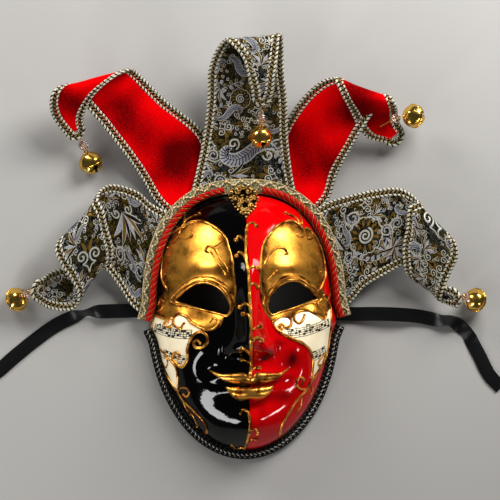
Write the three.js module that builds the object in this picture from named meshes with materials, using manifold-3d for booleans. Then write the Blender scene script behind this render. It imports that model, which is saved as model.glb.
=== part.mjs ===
// A jester mask that lies face up: +X to the right as seen from the front, +Y to the forehead, +Z out of the face.
// Lengths are millimetres. The face is built about the middle of its widest line, on the plane of its rim.
import * as THREE from 'three'
import { mergeVertices } from 'three/addons/utils/BufferGeometryUtils.js'
import Module from 'manifold-3d'

const wasm = await Module()
wasm.setup()

// Face
const faceWidth = 172
const foreheadLength = 110
const chinLength = 124
const faceDepth = 60
const faceWall = 2.5
const faceGrid = 22
const foreheadSquareness = 2.5
const chinSquareness = 2
const domePower = 0.4
const earFlare = 0.06
const earAngle = THREE.MathUtils.degToRad(-5)
const earSpread = THREE.MathUtils.degToRad(8)
const gap = 0.4

// Eyes
const eyeWidth = 45
const eyeSetApart = 80
const eyeUp = 15
const eyeRimWidth = 4.2
const eyeRimHeight = 2.4

// Relief
const reliefWidth = 3
const reliefHeight = 2
const reliefLift = 1
const lipHeight = 2.6

// Trims of the rim. Where they end is an angle in degrees above the middle of the face, on the right.
const ropeDiameter = 6.4
const gimpWidth = 10
const gimpThickness = 2.4
const chinBraidWidth = 8
const chinBraidThickness = 7
const crestSize = 27
const crestThickness = 4
const ropeTop = 76
const halfTurn = 180
const trimEnd = -3
const chinBraidEnd = -8

// Horns
const hornLength = 90
const hornThickness = 2.5
const hornBraidWidth = 8
const hornBraidThickness = 4
const hornBase = 5
const hornLayer = (hornThickness + hornBraidThickness) / 2 + gap
const bellDiameter = 21
const bellWall = 1.2
const bellSlot = 2
const bellLoop = 2.3
const beadDiameter = 9
const beadBore = 2
const threadDiameter = 1.2

// Ties
const ribbonWidth = 12.7
const ribbonThickness = 1.2

// How many straight stretches each curved piece is made of
const steps = {
  eyeRim: 20, eyePatch: 18, cheek: 24, jaw: 9, upperLip: 16, lowerLip: 12,
  rope: 14, gimp: 30, chinBraid: 24, hornRow: 2, hornTip: 4, ribbon: 20,
}

const material = (color, roughness, metalness) => new THREE.MeshStandardMaterial({ color, roughness, metalness })
const lacquer = material(0x120f10, 0.12, 0)
const agedGold = material(0xb98a3c, 0.35, 0.9)
const redSatin = material(0x9c1420, 0.4, 0)
const creamBraid = material(0xc9b68c, 0.6, 0.2)
const blackBraid = material(0x4a4238, 0.5, 0.5)
const redVelvet = material(0x8f0d1a, 0.9, 0)
const brocade = material(0x6e6c66, 0.6, 0.3)
const polishedBrass = material(0xd9a441, 0.15, 1)
const crystal = material(0xe9d3d0, 0.05, 0)
const goldThread = material(0xc79a4b, 0.5, 0.6)
const blackSatin = material(0x0d0d10, 0.35, 0)

// Swells and hollows of the face. x is a share of half the face's width, y of the reach to its forehead or chin,
// spreadX and spreadY likewise, and rise is a share of its depth. A feature off the middle is on both sides.
const features = [
  { name: 'forehead', x: 0, y: 0.62, spreadX: 0.5, spreadY: 0.3, rise: 0.1 },
  { name: 'brow', x: 0.38, y: 0.35, spreadX: 0.3, spreadY: 0.09, rise: 0.08 },
  { name: 'eye socket', x: 0.47, y: 0.115, spreadX: 0.22, spreadY: 0.12, rise: -0.2 },
  { name: 'nose bridge', x: 0, y: 0.19, spreadX: 0.11, spreadY: 0.2, rise: 0.2 },
  { name: 'nose ridge', x: 0, y: -0.05, spreadX: 0.13, spreadY: 0.16, rise: 0.27 },
  { name: 'nose tip', x: 0, y: -0.19, spreadX: 0.15, spreadY: 0.1, rise: 0.27 },
  { name: 'nose wing', x: 0.16, y: -0.24, spreadX: 0.08, spreadY: 0.06, rise: 0.13 },
  { name: 'cheek', x: 0.5, y: -0.19, spreadX: 0.26, spreadY: 0.2, rise: 0.14 },
  { name: 'smile corner', x: 0.43, y: -0.4, spreadX: 0.09, spreadY: 0.07, rise: -0.08 },
  { name: 'upper lip', x: 0.14, y: -0.45, spreadX: 0.2, spreadY: 0.05, rise: 0.1 },
  { name: 'mouth line', x: 0, y: -0.51, spreadX: 0.3, spreadY: 0.025, rise: -0.06 },
  { name: 'lower lip', x: 0, y: -0.565, spreadX: 0.2, spreadY: 0.05, rise: 0.12 },
  { name: 'chin crease', x: 0, y: -0.66, spreadX: 0.25, spreadY: 0.045, rise: -0.07 },
  { name: 'chin', x: 0, y: -0.83, spreadX: 0.24, spreadY: 0.13, rise: 0.16 },
]

// Outline of the right-hand eye hole, from the nose over the arch and back, in shares of half the eye's width.
const eyeOutline = [
  { x: -1, y: -0.3 }, { x: -0.9, y: 0.08 }, { x: -0.6, y: 0.45 }, { x: -0.2, y: 0.64 }, { x: 0.2, y: 0.62 },
  { x: 0.6, y: 0.38 }, { x: 1, y: -0.04 }, { x: 0.55, y: -0.2 }, { x: 0.05, y: -0.33 }, { x: -0.45, y: -0.48 },
  { x: -0.85, y: -0.58 },
]

// Raised lines on the right-hand side, in shares of half the face's width (x) and of its reach up or down (y).
const eyePatchLine = [
  { x: 0.13, y: 0.23 }, { x: 0.15, y: 0.46 }, { x: 0.22, y: 0.6 }, { x: 0.35, y: 0.68 }, { x: 0.48, y: 0.71 },
  { x: 0.62, y: 0.65 }, { x: 0.75, y: 0.54 }, { x: 0.81, y: 0.4 }, { x: 0.83, y: 0.28 },
]
const cheekLine = [
  { x: 0.28, y: -0.09 }, { x: 0.44, y: -0.06 }, { x: 0.56, y: -0.03 }, { x: 0.7, y: -0.02 }, { x: 0.84, y: 0 },
  { x: 0.88, y: -0.1 }, { x: 0.85, y: -0.28 }, { x: 0.78, y: -0.42 }, { x: 0.66, y: -0.47 }, { x: 0.64, y: -0.34 },
  { x: 0.54, y: -0.25 }, { x: 0.4, y: -0.18 },
]
const jawLine = [
  { x: 0.7, y: -0.51 }, { x: 0.6, y: -0.61 }, { x: 0.48, y: -0.69 }, { x: 0.4, y: -0.8 }, { x: 0.34, y: -0.93 },
]
const centerLine = { top: 0.68, bottom: -0.41 }
const chinLine = { top: -0.66, bottom: -0.96 }

// Lips, from one corner of the mouth to the other: upper and lower edge of each, in the same shares.
const upperLip = [
  { x: -0.42, top: -0.42, bottom: -0.44 }, { x: -0.28, top: -0.44, bottom: -0.485 },
  { x: -0.12, top: -0.43, bottom: -0.515 }, { x: 0, top: -0.455, bottom: -0.525 },
  { x: 0.12, top: -0.43, bottom: -0.515 }, { x: 0.28, top: -0.44, bottom: -0.485 },
  { x: 0.42, top: -0.42, bottom: -0.44 },
]
const lowerLip = [
  { x: -0.26, top: -0.52, bottom: -0.54 }, { x: -0.15, top: -0.54, bottom: -0.61 },
  { x: 0, top: -0.55, bottom: -0.62 },
  { x: 0.15, top: -0.54, bottom: -0.61 }, { x: 0.26, top: -0.52, bottom: -0.54 },
]

// The crest ornament, a pointed leaf: rows down from the rim and half widths, in shares of half its size.
const crestRows = [
  { down: 0.15, half: 0.5 }, { down: 0.4, half: 0.9 }, { down: 0.8, half: 1 }, { down: 1.2, half: 0.8 },
  { down: 1.6, half: 0.45 }, { down: 1.9, half: 0.1 },
]

// A horn is a strip of cloth, folded at each crease. Every row is a line across it, from the edge ax, ay, az to the
// edge bx, by, bz, in shares of hornLength from the horn's root, rootOut from the rim; az and bz are heights above its base.
const horns = [
  {
    name: 'center', rootAngle: 90, rootOut: 0, base: hornLayer, cloth: brocade, rows: [
      { ax: -0.52, ay: -0.14, az: 0, bx: 0.55, by: -0.15, bz: 0 },
      { ax: -0.45, ay: 0.12, az: 0, bx: 0.48, by: 0.11, bz: 0 },
      { ax: -0.36, ay: 0.53, az: 0.08, bx: 0.42, by: 0.56, bz: 0.08 },
      { ax: -0.31, ay: 0.93, az: 0.22, bx: 0.4, by: 0.92, bz: 0.22 },
      { ax: -0.3, ay: 1.22, az: 0.33, bx: 0.36, by: 1.2, bz: 0.33 },
      { ax: -0.23, ay: 1.41, az: 0.42, bx: 0.35, by: 1.44, bz: 0.42 },
      { ax: -0.15, ay: 1.5, az: 0.5, bx: 0.33, by: 1.54, bz: 0.5 },
      { ax: -0.1, ay: 1.46, az: 0.57, bx: 0.3, by: 1.51, bz: 0.57 },
      { ax: 0.02, ay: 1.31, az: 0.57, bx: 0.28, by: 1.35, bz: 0.57 },
      { ax: 0.07, ay: 1.14, az: 0.53, bx: 0.25, by: 1.14, bz: 0.53 },
      { ax: 0.11, ay: 1.0, az: 0.47, bx: 0.24, by: 1.0, bz: 0.47 },
      { ax: 0.115, ay: 0.94, az: 0.43, bx: 0.225, by: 0.94, bz: 0.43 },
    ], bell: { x: 0.17, y: 0.555, z: 0.222 },
  },
  {
    name: 'red_left', rootAngle: 124, rootOut: 7.4, base: 0, cloth: redVelvet, rows: [
      { ax: 0.12, ay: -0.1, az: 0, bx: 0.58, by: 0.22, bz: 0 },
      { ax: -0.15, ay: 0.14, az: 0, bx: 0.37, by: 0.52, bz: 0 },
      { ax: -0.29, ay: 0.38, az: 0.06, bx: 0.28, by: 0.79, bz: 0.02 },
      { ax: -0.48, ay: 0.65, az: 0.18, bx: -0.11, by: 1.11, bz: 0.16 },
      { ax: -0.74, ay: 0.98, az: 0.3, bx: -0.34, by: 1.33, bz: 0.28 },
      { ax: -0.97, ay: 1.22, az: 0.38, bx: -0.44, by: 1.41, bz: 0.38 },
      { ax: -1.06, ay: 1.26, az: 0.46, bx: -0.48, by: 1.4, bz: 0.47 },
      { ax: -1.15, ay: 1.2, az: 0.49, bx: -0.62, by: 1.33, bz: 0.5 },
      { ax: -1.18, ay: 1.08, az: 0.43, bx: -0.81, by: 1.18, bz: 0.45 },
      { ax: -1.16, ay: 0.98, az: 0.35, bx: -0.91, by: 1.03, bz: 0.35 },
      { ax: -1.08, ay: 0.86, az: 0.27, bx: -0.94, by: 0.93, bz: 0.27 },
      { ax: -1.03, ay: 0.8, az: 0.22, bx: -0.93, by: 0.87, bz: 0.22 },
    ], bell: { x: -0.83, y: 0.52, z: 0.066 },
  },
  {
    name: 'red_right', rootAngle: 56, rootOut: 7.4, base: 0, cloth: redVelvet, rows: [
      { ax: -0.11, ay: -0.1, az: 0, bx: -0.57, by: 0.24, bz: 0 },
      { ax: 0.15, ay: 0.14, az: 0, bx: -0.33, by: 0.53, bz: 0 },
      { ax: 0.23, ay: 0.38, az: 0.06, bx: -0.25, by: 0.8, bz: 0.02 },
      { ax: 0.35, ay: 0.62, az: 0.18, bx: -0.06, by: 1.11, bz: 0.16 },
      { ax: 0.49, ay: 0.87, az: 0.3, bx: 0.14, by: 1.28, bz: 0.28 },
      { ax: 0.66, ay: 1.1, az: 0.38, bx: 0.28, by: 1.31, bz: 0.38 },
      { ax: 0.73, ay: 1.13, az: 0.46, bx: 0.25, by: 1.29, bz: 0.47 },
      { ax: 0.76, ay: 1.08, az: 0.48, bx: 0.29, by: 1.19, bz: 0.49 },
      { ax: 0.79, ay: 1.03, az: 0.44, bx: 0.35, by: 1.09, bz: 0.45 },
      { ax: 0.81, ay: 0.99, az: 0.36, bx: 0.42, by: 0.99, bz: 0.37 },
      { ax: 0.83, ay: 0.95, az: 0.26, bx: 0.5, by: 0.87, bz: 0.27 },
      { ax: 0.86, ay: 0.88, az: 0.18, bx: 0.61, by: 0.76, bz: 0.18 },
      { ax: 0.91, ay: 0.81, az: 0.13, bx: 0.79, by: 0.72, bz: 0.13 },
    ],
    tie: { x: 0.7, y: 0.85, z: 0.255 },
    bead: { x: 0.83, y: 0.92, z: 0.37 },
    bell: { x: 1.04, y: 0.95, z: 0.24 },
  },
  {
    name: 'side_left', rootAngle: 145, rootOut: 8.1, base: hornLayer, cloth: brocade, rows: [
      { ax: 0.02, ay: -0.64, az: 0, bx: 0.22, by: 0.33, bz: 0 },
      { ax: -0.21, ay: -0.5, az: 0, bx: -0.03, by: 0.46, bz: 0 },
      { ax: -0.36, ay: -0.27, az: 0.04, bx: -0.17, by: 0.58, bz: 0.06 },
      { ax: -0.52, ay: -0.08, az: 0.12, bx: -0.43, by: 0.65, bz: 0.16 },
      { ax: -0.8, ay: 0.1, az: 0.2, bx: -0.55, by: 0.59, bz: 0.24 },
      { ax: -0.91, ay: 0.16, az: 0.27, bx: -0.58, by: 0.51, bz: 0.32 },
      { ax: -0.95, ay: 0.07, az: 0.32, bx: -0.54, by: 0.42, bz: 0.36 },
      { ax: -0.89, ay: -0.08, az: 0.3, bx: -0.5, by: 0.24, bz: 0.33 },
      { ax: -0.81, ay: -0.2, az: 0.25, bx: -0.45, by: 0.04, bz: 0.27 },
      { ax: -0.74, ay: -0.37, az: 0.18, bx: -0.47, by: -0.09, bz: 0.2 },
      { ax: -0.79, ay: -0.5, az: 0.09, bx: -0.63, by: -0.14, bz: 0.11 },
      { ax: -0.93, ay: -0.52, az: 0.06, bx: -0.89, by: -0.17, bz: 0.07 },
      { ax: -1.08, ay: -0.48, az: 0.12, bx: -1.05, by: -0.22, bz: 0.12 },
      { ax: -1.16, ay: -0.42, az: 0.2, bx: -1.13, by: -0.28, bz: 0.2 },
    ], bell: { x: -1.38, y: -0.44, z: 0.035 },
  },
  {
    name: 'side_right', rootAngle: 35, rootOut: 8.1, base: hornLayer, cloth: brocade, rows: [
      { ax: -0.05, ay: -0.67, az: 0, bx: -0.28, by: 0.31, bz: 0 },
      { ax: 0.19, ay: -0.48, az: 0, bx: -0.02, by: 0.45, bz: 0 },
      { ax: 0.31, ay: -0.34, az: 0.04, bx: 0.14, by: 0.5, bz: 0.06 },
      { ax: 0.52, ay: -0.21, az: 0.12, bx: 0.42, by: 0.56, bz: 0.16 },
      { ax: 0.89, ay: -0.01, az: 0.2, bx: 0.69, by: 0.57, bz: 0.24 },
      { ax: 1.12, ay: 0.15, az: 0.27, bx: 0.86, by: 0.44, bz: 0.32 },
      { ax: 1.18, ay: 0.07, az: 0.32, bx: 0.77, by: 0.4, bz: 0.36 },
      { ax: 1.2, ay: -0.06, az: 0.3, bx: 0.75, by: 0.2, bz: 0.33 },
      { ax: 1.15, ay: -0.2, az: 0.25, bx: 0.72, by: 0, bz: 0.27 },
      { ax: 1.1, ay: -0.32, az: 0.21, bx: 0.73, by: -0.12, bz: 0.24 },
      { ax: 1.07, ay: -0.43, az: 0.17, bx: 0.75, by: -0.23, bz: 0.2 },
      { ax: 1.07, ay: -0.51, az: 0.11, bx: 0.81, by: -0.3, bz: 0.13 },
      { ax: 1.13, ay: -0.53, az: 0.08, bx: 0.93, by: -0.33, bz: 0.09 },
      { ax: 1.18, ay: -0.55, az: 0.13, bx: 1.07, by: -0.38, bz: 0.12 },
      { ax: 1.22, ay: -0.56, az: 0.2, bx: 1.17, by: -0.43, bz: 0.2 },
    ], bell: { x: 1.47, y: -0.53, z: 0.04 },
  },
]

// Routes of the ties over the floor, from the rim to the cut end, in millimetres from the middle of the face.
const ribbonRoutes = {
  left: [
    [-84.4, 6, 3], [-105, 5, 3.5], [-123, 5, 8], [-143, 4, 7], [-156, 0, 3], [-171, -7, 1.2], [-190, -20, 0.9],
    [-209, -35, 0.9], [-222, -46, 0.9], [-233, -54, 0.9],
  ],
  right: [
    [85.4, -1, 3], [104, -2, 3.5], [120, -2, 7], [142, -3, 8], [161, -5, 4], [180, -9, 1.6], [192, -10, 1.2],
    [205, -19, 0.9], [217, -39, 0.9], [228, -61, 0.9], [239, -73, 0.9],
  ],
}

const halfWidth = faceWidth / 2
const templeReach = halfWidth * 0.93
const foreheadReach = foreheadLength * 1.064
const chinReach = chinLength * 0.944
const group = new THREE.Group()

function addPiece(name, geometry, finish) {
  const mesh = new THREE.Mesh(geometry, finish)
  mesh.name = name
  group.add(mesh)
  return mesh
}

function volumeOf(geometry) {
  const place = geometry.getAttribute('position')
  const index = geometry.getIndex()
  const corners = [new THREE.Vector3(), new THREE.Vector3(), new THREE.Vector3()]
  let volume = 0
  for (let i = 0; i < index.count; i += 3) {
    corners.forEach((corner, k) => corner.fromBufferAttribute(place, index.getX(i + k)))
    volume += corners[0].dot(corners[1].clone().cross(corners[2])) / 6
  }
  return volume
}

function closedGeometry(points, triangles) {
  const geometry = new THREE.BufferGeometry()
  geometry.setAttribute('position', new THREE.Float32BufferAttribute(points.flatMap((p) => [p.x, p.y, p.z]), 3))
  geometry.setIndex(triangles.flat())
  if (volumeOf(geometry) < 0) geometry.setIndex(triangles.map(([a, b, c]) => [a, c, b]).flat())
  return geometry
}

// Skins a row of rings, each with the same number of points. An open row gets a cap at both ends.
function loft(rings, closed = false) {
  const count = rings[0].length
  const triangles = []
  const last = closed ? rings.length : rings.length - 1
  for (let ring = 0; ring < last; ring += 1) {
    const here = ring * count
    const next = ((ring + 1) % rings.length) * count
    for (let k = 0; k < count; k += 1) {
      const turn = (k + 1) % count
      triangles.push([here + k, here + turn, next + turn], [here + k, next + turn, next + k])
    }
  }
  if (!closed) {
    const end = (rings.length - 1) * count
    for (let k = 1; k < count - 1; k += 1) {
      triangles.push([0, k + 1, k], [end, end + k, end + k + 1])
    }
  }
  return closedGeometry(rings.flat(), triangles)
}

function toSolid(geometry) {
  const bare = geometry.clone()
  bare.deleteAttribute('normal')
  bare.deleteAttribute('uv')
  const merged = mergeVertices(bare, 1e-4)
  return new wasm.Manifold(new wasm.Mesh({
    numProp: 3,
    vertProperties: new Float32Array(merged.getAttribute('position').array),
    triVerts: new Uint32Array(merged.getIndex().array),
  }))
}

function toGeometry(solid) {
  const mesh = solid.getMesh()
  const geometry = new THREE.BufferGeometry()
  geometry.setAttribute('position', new THREE.Float32BufferAttribute(mesh.vertProperties, 3))
  geometry.setIndex(Array.from(mesh.triVerts))
  return geometry
}

function rimRadius(angle) {
  const isForehead = Math.sin(angle) >= 0
  const length = isForehead ? foreheadLength : chinLength
  const power = isForehead ? foreheadSquareness : chinSquareness
  const sideways = Math.abs(Math.cos(angle)) / templeReach
  const upright = Math.abs(Math.sin(angle)) / length
  const oval = (sideways ** power + upright ** power) ** (-1 / power)
  const slant = Math.asin(Math.sin(angle))
  return oval * (1 + earFlare * Math.exp(-(((slant - earAngle) / earSpread) ** 2)))
}

function onRim(angle) {
  return new THREE.Vector3(Math.cos(angle), Math.sin(angle), 0).multiplyScalar(rimRadius(angle))
}

// A point beside the rim's outline, outset from it in its own plane, and the direction that points outward there.
function besideRim(angle, outset, height) {
  const along = onRim(angle + 0.01).sub(onRim(angle - 0.01)).normalize()
  const outward = new THREE.Vector3(along.y, -along.x, 0)
  return { point: onRim(angle).addScaledVector(outward, outset).setZ(height), outward }
}

// A share up the face, towards the forehead or the chin, in millimetres.
function faceY(share) {
  return share * (share > 0 ? foreheadReach : chinReach)
}

function faceHeightAt(x, y, radius) {
  const dome = Math.max(1 - radius * radius, 0) ** domePower
  const fade = 1 - radius ** 8
  const share = y / (y > 0 ? foreheadReach : chinReach)
  let swell = 0
  for (const feature of features) {
    const sides = feature.x === 0 ? [1] : [1, -1]
    for (const side of sides) {
      const across = (x / halfWidth - side * feature.x) / feature.spreadX
      const along = (share - feature.y) / feature.spreadY
      swell += feature.rise * Math.exp(-across * across - along * along)
    }
  }
  return faceDepth * (dome + fade * swell)
}

function faceHeight(x, y) {
  return faceHeightAt(x, y, Math.min(Math.hypot(x, y) / rimRadius(Math.atan2(y, x)), 1))
}

function faceNormal(x, y) {
  const step = 0.5
  const slopeX = (faceHeight(x + step, y) - faceHeight(x - step, y)) / (2 * step)
  const slopeY = (faceHeight(x, y + step) - faceHeight(x, y - step)) / (2 * step)
  return new THREE.Vector3(-slopeX, -slopeY, 1).normalize()
}

// Maps a square grid to the face: u and v run from -1 to 1, and the rim is the square's border.
function gridPoint(u, v) {
  const x = u * Math.sqrt(1 - (v * v) / 2)
  const y = v * Math.sqrt(1 - (u * u) / 2)
  const angle = Math.atan2(y, x)
  const radius = Math.sin((Math.min(Math.hypot(x, y), 1) * Math.PI) / 2)
  const plan = onRim(angle).multiplyScalar(radius)
  return plan.setZ(faceHeightAt(plan.x, plan.y, radius))
}

function gridNormal(u, v) {
  const step = 0.01
  const low = (value) => Math.max(value - step, -1)
  const high = (value) => Math.min(value + step, 1)
  const alongU = gridPoint(high(u), v).sub(gridPoint(low(u), v))
  const alongV = gridPoint(u, high(v)).sub(gridPoint(u, low(v)))
  return alongU.cross(alongV).normalize()
}

function eyeCurve(side, grow = 0) {
  const half = eyeWidth / 2
  const points = eyeOutline.map(({ x, y }) => {
    const push = 1 + grow / (half * Math.hypot(x, y))
    return new THREE.Vector3(side * (eyeSetApart / 2 + x * push * half), eyeUp + y * push * half, 0)
  })
  return new THREE.CatmullRomCurve3(points, true)
}

function eyeCutter(side) {
  const outline = eyeCurve(side).getPoints(20).slice(0, -1)
  const low = outline.map((p) => p.clone().setZ(-faceDepth))
  const high = outline.map((p) => p.clone().setZ(2 * faceDepth))
  return toSolid(loft([low, high]))
}

// The face's outer skin, to set the relief on.
const faceSkin = new THREE.Mesh(new THREE.BufferGeometry(), new THREE.MeshBasicMaterial({ side: THREE.DoubleSide }))
const plumbLine = new THREE.Raycaster()

function faceShell() {
  const points = []
  const triangles = []
  const row = faceGrid + 1
  const outerCount = row * row
  const at = (i, j) => j * row + i
  for (const isInner of [false, true]) {
    for (let j = 0; j <= faceGrid; j += 1) {
      for (let i = 0; i <= faceGrid; i += 1) {
        const u = (2 * i) / faceGrid - 1
        const v = (2 * j) / faceGrid - 1
        const onBorder = i % faceGrid === 0 || j % faceGrid === 0
        const point = gridPoint(u, v)
        const angle = Math.atan2(point.y, point.x)
        if (isInner && onBorder) point.copy(besideRim(angle, -faceWall, 0).point)
        else if (isInner) point.addScaledVector(gridNormal(u, v), -faceWall)
        points.push(point)
      }
    }
  }
  for (let j = 0; j < faceGrid; j += 1) {
    for (let i = 0; i < faceGrid; i += 1) {
      const isRising = i < faceGrid / 2 === j < faceGrid / 2
      const [a, b, c, d] = [at(i, j), at(i + 1, j), at(i + 1, j + 1), at(i, j + 1)]
      const halves = isRising ? [[a, b, c], [a, c, d]] : [[a, b, d], [b, c, d]]
      for (const [p, q, r] of halves) {
        triangles.push([p, q, r], [p + outerCount, r + outerCount, q + outerCount])
      }
    }
  }
  const border = []
  for (let i = 0; i < faceGrid; i += 1) border.push(at(i, 0))
  for (let j = 0; j < faceGrid; j += 1) border.push(at(faceGrid, j))
  for (let i = faceGrid; i > 0; i -= 1) border.push(at(i, faceGrid))
  for (let j = faceGrid; j > 0; j -= 1) border.push(at(0, j))
  border.forEach((here, k) => {
    const next = border[(k + 1) % border.length]
    triangles.push([here, here + outerCount, next + outerCount], [here, next + outerCount, next])
  })
  faceSkin.geometry.setFromPoints(points.slice(0, outerCount))
  faceSkin.geometry.setIndex(triangles.filter((corners) => Math.max(...corners) < outerCount).flat())
  const solid = toSolid(closedGeometry(points, triangles))
  return toGeometry(solid.subtract(eyeCutter(-1)).subtract(eyeCutter(1)))
}

// The spot on the face's skin under x, y, raised from it by a height along the face's normal or another direction.
function onFace(x, y, height, up = faceNormal(x, y)) {
  plumbLine.set(new THREE.Vector3(x, y, 3 * faceDepth), new THREE.Vector3(0, 0, -1))
  const [hit] = plumbLine.intersectObject(faceSkin)
  return hit.point.clone().addScaledVector(up, height)
}

// One section of a raised line on the face: its foot follows the skin.
function ridgeRing(plan, tangent, width, height) {
  const up = faceNormal(plan.x, plan.y)
  const aside = new THREE.Vector3().crossVectors(up, tangent).normalize()
  const corner = (side, rise) => {
    const place = plan.clone().addScaledVector(aside, (side * width) / 2)
    return onFace(place.x, place.y, reliefLift + rise * height, up)
  }
  return [corner(-1, 0), corner(0, 0), corner(1, 0), corner(0.6, 1), corner(-0.6, 1)]
}

function ridge(curve, stretches, width, height, closed = false) {
  const count = closed ? stretches : stretches + 1
  return loft(Array.from({ length: count }, (_, i) => (
    ridgeRing(curve.getPointAt(i / stretches), curve.getTangentAt(i / stretches), width, height))), closed)
}

// A raised line down the middle of the face. It has a section wherever the skin's facets turn under its foot: at each
// row of the grid, and where a slanting edge of the grid passes under the line's side.
function middleRidge(line, width, height) {
  const top = faceY(line.top)
  const bottom = faceY(line.bottom)
  const slant = width / 2 / gridPoint(2 / faceGrid, 0).x
  const rows = []
  for (let row = 0; row < faceGrid / 2; row += 1) {
    for (const share of [0, slant, (1 + slant) / 2]) {
      const v = (2 * (row + share)) / faceGrid
      rows.push(gridPoint(0, v).y, gridPoint(0, -v).y)
    }
  }
  const within = [...new Set(rows)].filter((y) => y < top - width / 2 && y > bottom + width / 2)
  within.sort((one, other) => other - one)
  return loft([top, ...within, bottom].map((y) => (
    ridgeRing(new THREE.Vector3(0, y, 0), new THREE.Vector3(0, -1, 0), width, height))))
}

function faceCurve(line, side = 1, closed = false) {
  const points = line.map(({ x, y }) => new THREE.Vector3(side * x * halfWidth, faceY(y), 0))
  return new THREE.CatmullRomCurve3(points, closed)
}

// A lip: a swollen band between its upper and lower edge.
function lip(line, stretches) {
  const topEdge = new THREE.CatmullRomCurve3(line.map(({ x, top }) => new THREE.Vector3(x, top, 0)))
  const bottomEdge = new THREE.CatmullRomCurve3(line.map(({ x, bottom }) => new THREE.Vector3(x, bottom, 0)))
  const rings = Array.from({ length: stretches + 1 }, (_, i) => {
    const { x, y: top } = topEdge.getPoint(i / stretches)
    const { y: bottom } = bottomEdge.getPoint(i / stretches)
    const stand = (y, rise) => onFace(x * halfWidth, faceY(y), reliefLift + rise)
    const middle = (top + bottom) / 2
    return [stand(top, 0), stand(middle, 0), stand(bottom, 0), stand(bottom, lipHeight / 2), stand(middle, lipHeight),
      stand(top, lipHeight / 2)]
  })
  return loft(rings)
}

// A trim that runs round the rim between two angles, in degrees: its section is an oval of the given sides.
function rimTrim(from, to, stretches, outset, height, width, thickness, sides) {
  const rings = []
  for (let i = 0; i <= stretches; i += 1) {
    const angle = THREE.MathUtils.degToRad(from + ((to - from) * i) / stretches)
    const { point, outward } = besideRim(angle, outset, height)
    rings.push(ovalRing(point, outward, new THREE.Vector3(0, 0, 1), width, thickness, sides))
  }
  return loft(rings)
}

// A ring of corners that just fills its width and thickness.
function ovalRing(centre, across, up, width, thickness, sides) {
  const turns = Array.from({ length: sides }, (_, k) => ((k + 0.5) / sides) * 2 * Math.PI)
  const widest = Math.max(...turns.map((turn) => Math.cos(turn)))
  const highest = Math.max(...turns.map((turn) => Math.sin(turn)))
  return turns.map((turn) => centre.clone()
    .addScaledVector(across, (Math.cos(turn) / widest) * (width / 2))
    .addScaledVector(up, (Math.sin(turn) / highest) * (thickness / 2)))
}

function hornPlace(horn, x, y, z) {
  const root = onRim(THREE.MathUtils.degToRad(horn.rootAngle))
  root.setLength(root.length() + horn.rootOut)
  return new THREE.Vector3(root.x + x * hornLength, root.y + y * hornLength, hornBase + horn.base + z * hornLength)
}

// Lines across a horn from its base to its tip, with the directions across, along and out of the cloth.
function hornFrames(horn) {
  const edgeA = new THREE.CatmullRomCurve3(horn.rows.map((row) => hornPlace(horn, row.ax, row.ay, row.az)))
  const edgeB = new THREE.CatmullRomCurve3(horn.rows.map((row) => hornPlace(horn, row.bx, row.by, row.bz)))
  const count = (horn.rows.length - 1) * steps.hornRow
  const middleAt = (t) => edgeA.getPoint(t).add(edgeB.getPoint(t)).multiplyScalar(0.5)
  return Array.from({ length: count + 1 }, (_, i) => {
    const t = i / count
    const a = edgeA.getPoint(t)
    const b = edgeB.getPoint(t)
    const near = 0.25 / count
    const along = middleAt(Math.min(t + near, 1)).sub(middleAt(Math.max(t - near, 0))).normalize()
    const across = b.clone().sub(a).normalize()
    const out = new THREE.Vector3().crossVectors(along, across).normalize()
    return { a, b, across, out, along: new THREE.Vector3().crossVectors(across, out) }
  })
}

function hornCloth(horn) {
  const inset = hornBraidWidth / 2 + 2 * gap
  const clothToBraid = gap * 1.3
  const rings = hornFrames(horn)
    .filter(({ a, b }) => a.distanceTo(b) > 2 * inset + hornThickness)
    .map(({ a, b, across, out }) => {
      const width = a.distanceTo(b) - 2 * inset
      const side = (share, rise) => a.clone()
        .addScaledVector(across, inset + share * width)
        .addScaledVector(out, (rise * hornThickness) / 2)
      return [side(0, -1), side(1, -1), side(1, 1), side(0, 1)]
    })
  const cloth = toSolid(loft(rings)).subtract(rimPlug()).subtract(toSolid(hornBraid(horn, clothToBraid)))
  const [largest] = cloth.decompose().sort((one, other) => other.volume() - one.volume())
  return toGeometry(largest)
}

// Everything inside the rim's outline, which the cloth of the horns stops short of.
function rimPlug() {
  const sides = 72
  const ring = (height) => Array.from({ length: sides }, (_, k) => (
    besideRim((k / sides) * 2 * Math.PI, gap, height).point))
  return toSolid(loft([ring(-faceDepth), ring(faceDepth)]))
}

// The braid runs up one edge of the horn, round its tip and down the other edge, thicker by grow on every side.
function hornBraid(horn, grow = 0) {
  const frames = hornFrames(horn).slice(2)
  const tip = frames[frames.length - 1]
  const middle = tip.a.clone().add(tip.b).multiplyScalar(0.5)
  const half = tip.a.distanceTo(tip.b) / 2
  const ring = (centre, outward, up) => (
    ovalRing(centre, outward, up, hornBraidWidth + 2 * grow, hornBraidThickness + 2 * grow, 4))
  const goingOut = frames.map(({ a, across, out }) => ring(a, across.clone().negate(), out))
  const round = Array.from({ length: steps.hornTip - 1 }, (_, k) => {
    const turn = ((k + 1) / steps.hornTip) * Math.PI
    const outward = tip.across.clone().multiplyScalar(-Math.cos(turn)).addScaledVector(tip.along, Math.sin(turn))
    return ring(middle.clone().addScaledVector(outward, half), outward, tip.out)
  })
  const comingBack = frames.toReversed().map(({ b, across, out }) => ring(b, across, out))
  return loft([...goingOut, ...round, ...comingBack])
}

// A mesh whose own -Z points from start to end.
function pointAlong(mesh, place, start, end) {
  const direction = end.clone().sub(start).normalize()
  mesh.position.copy(place)
  mesh.quaternion.setFromUnitVectors(new THREE.Vector3(0, 0, -1), direction)
}

function lying(geometry) {
  return geometry.rotateX(Math.PI / 2)
}

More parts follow.
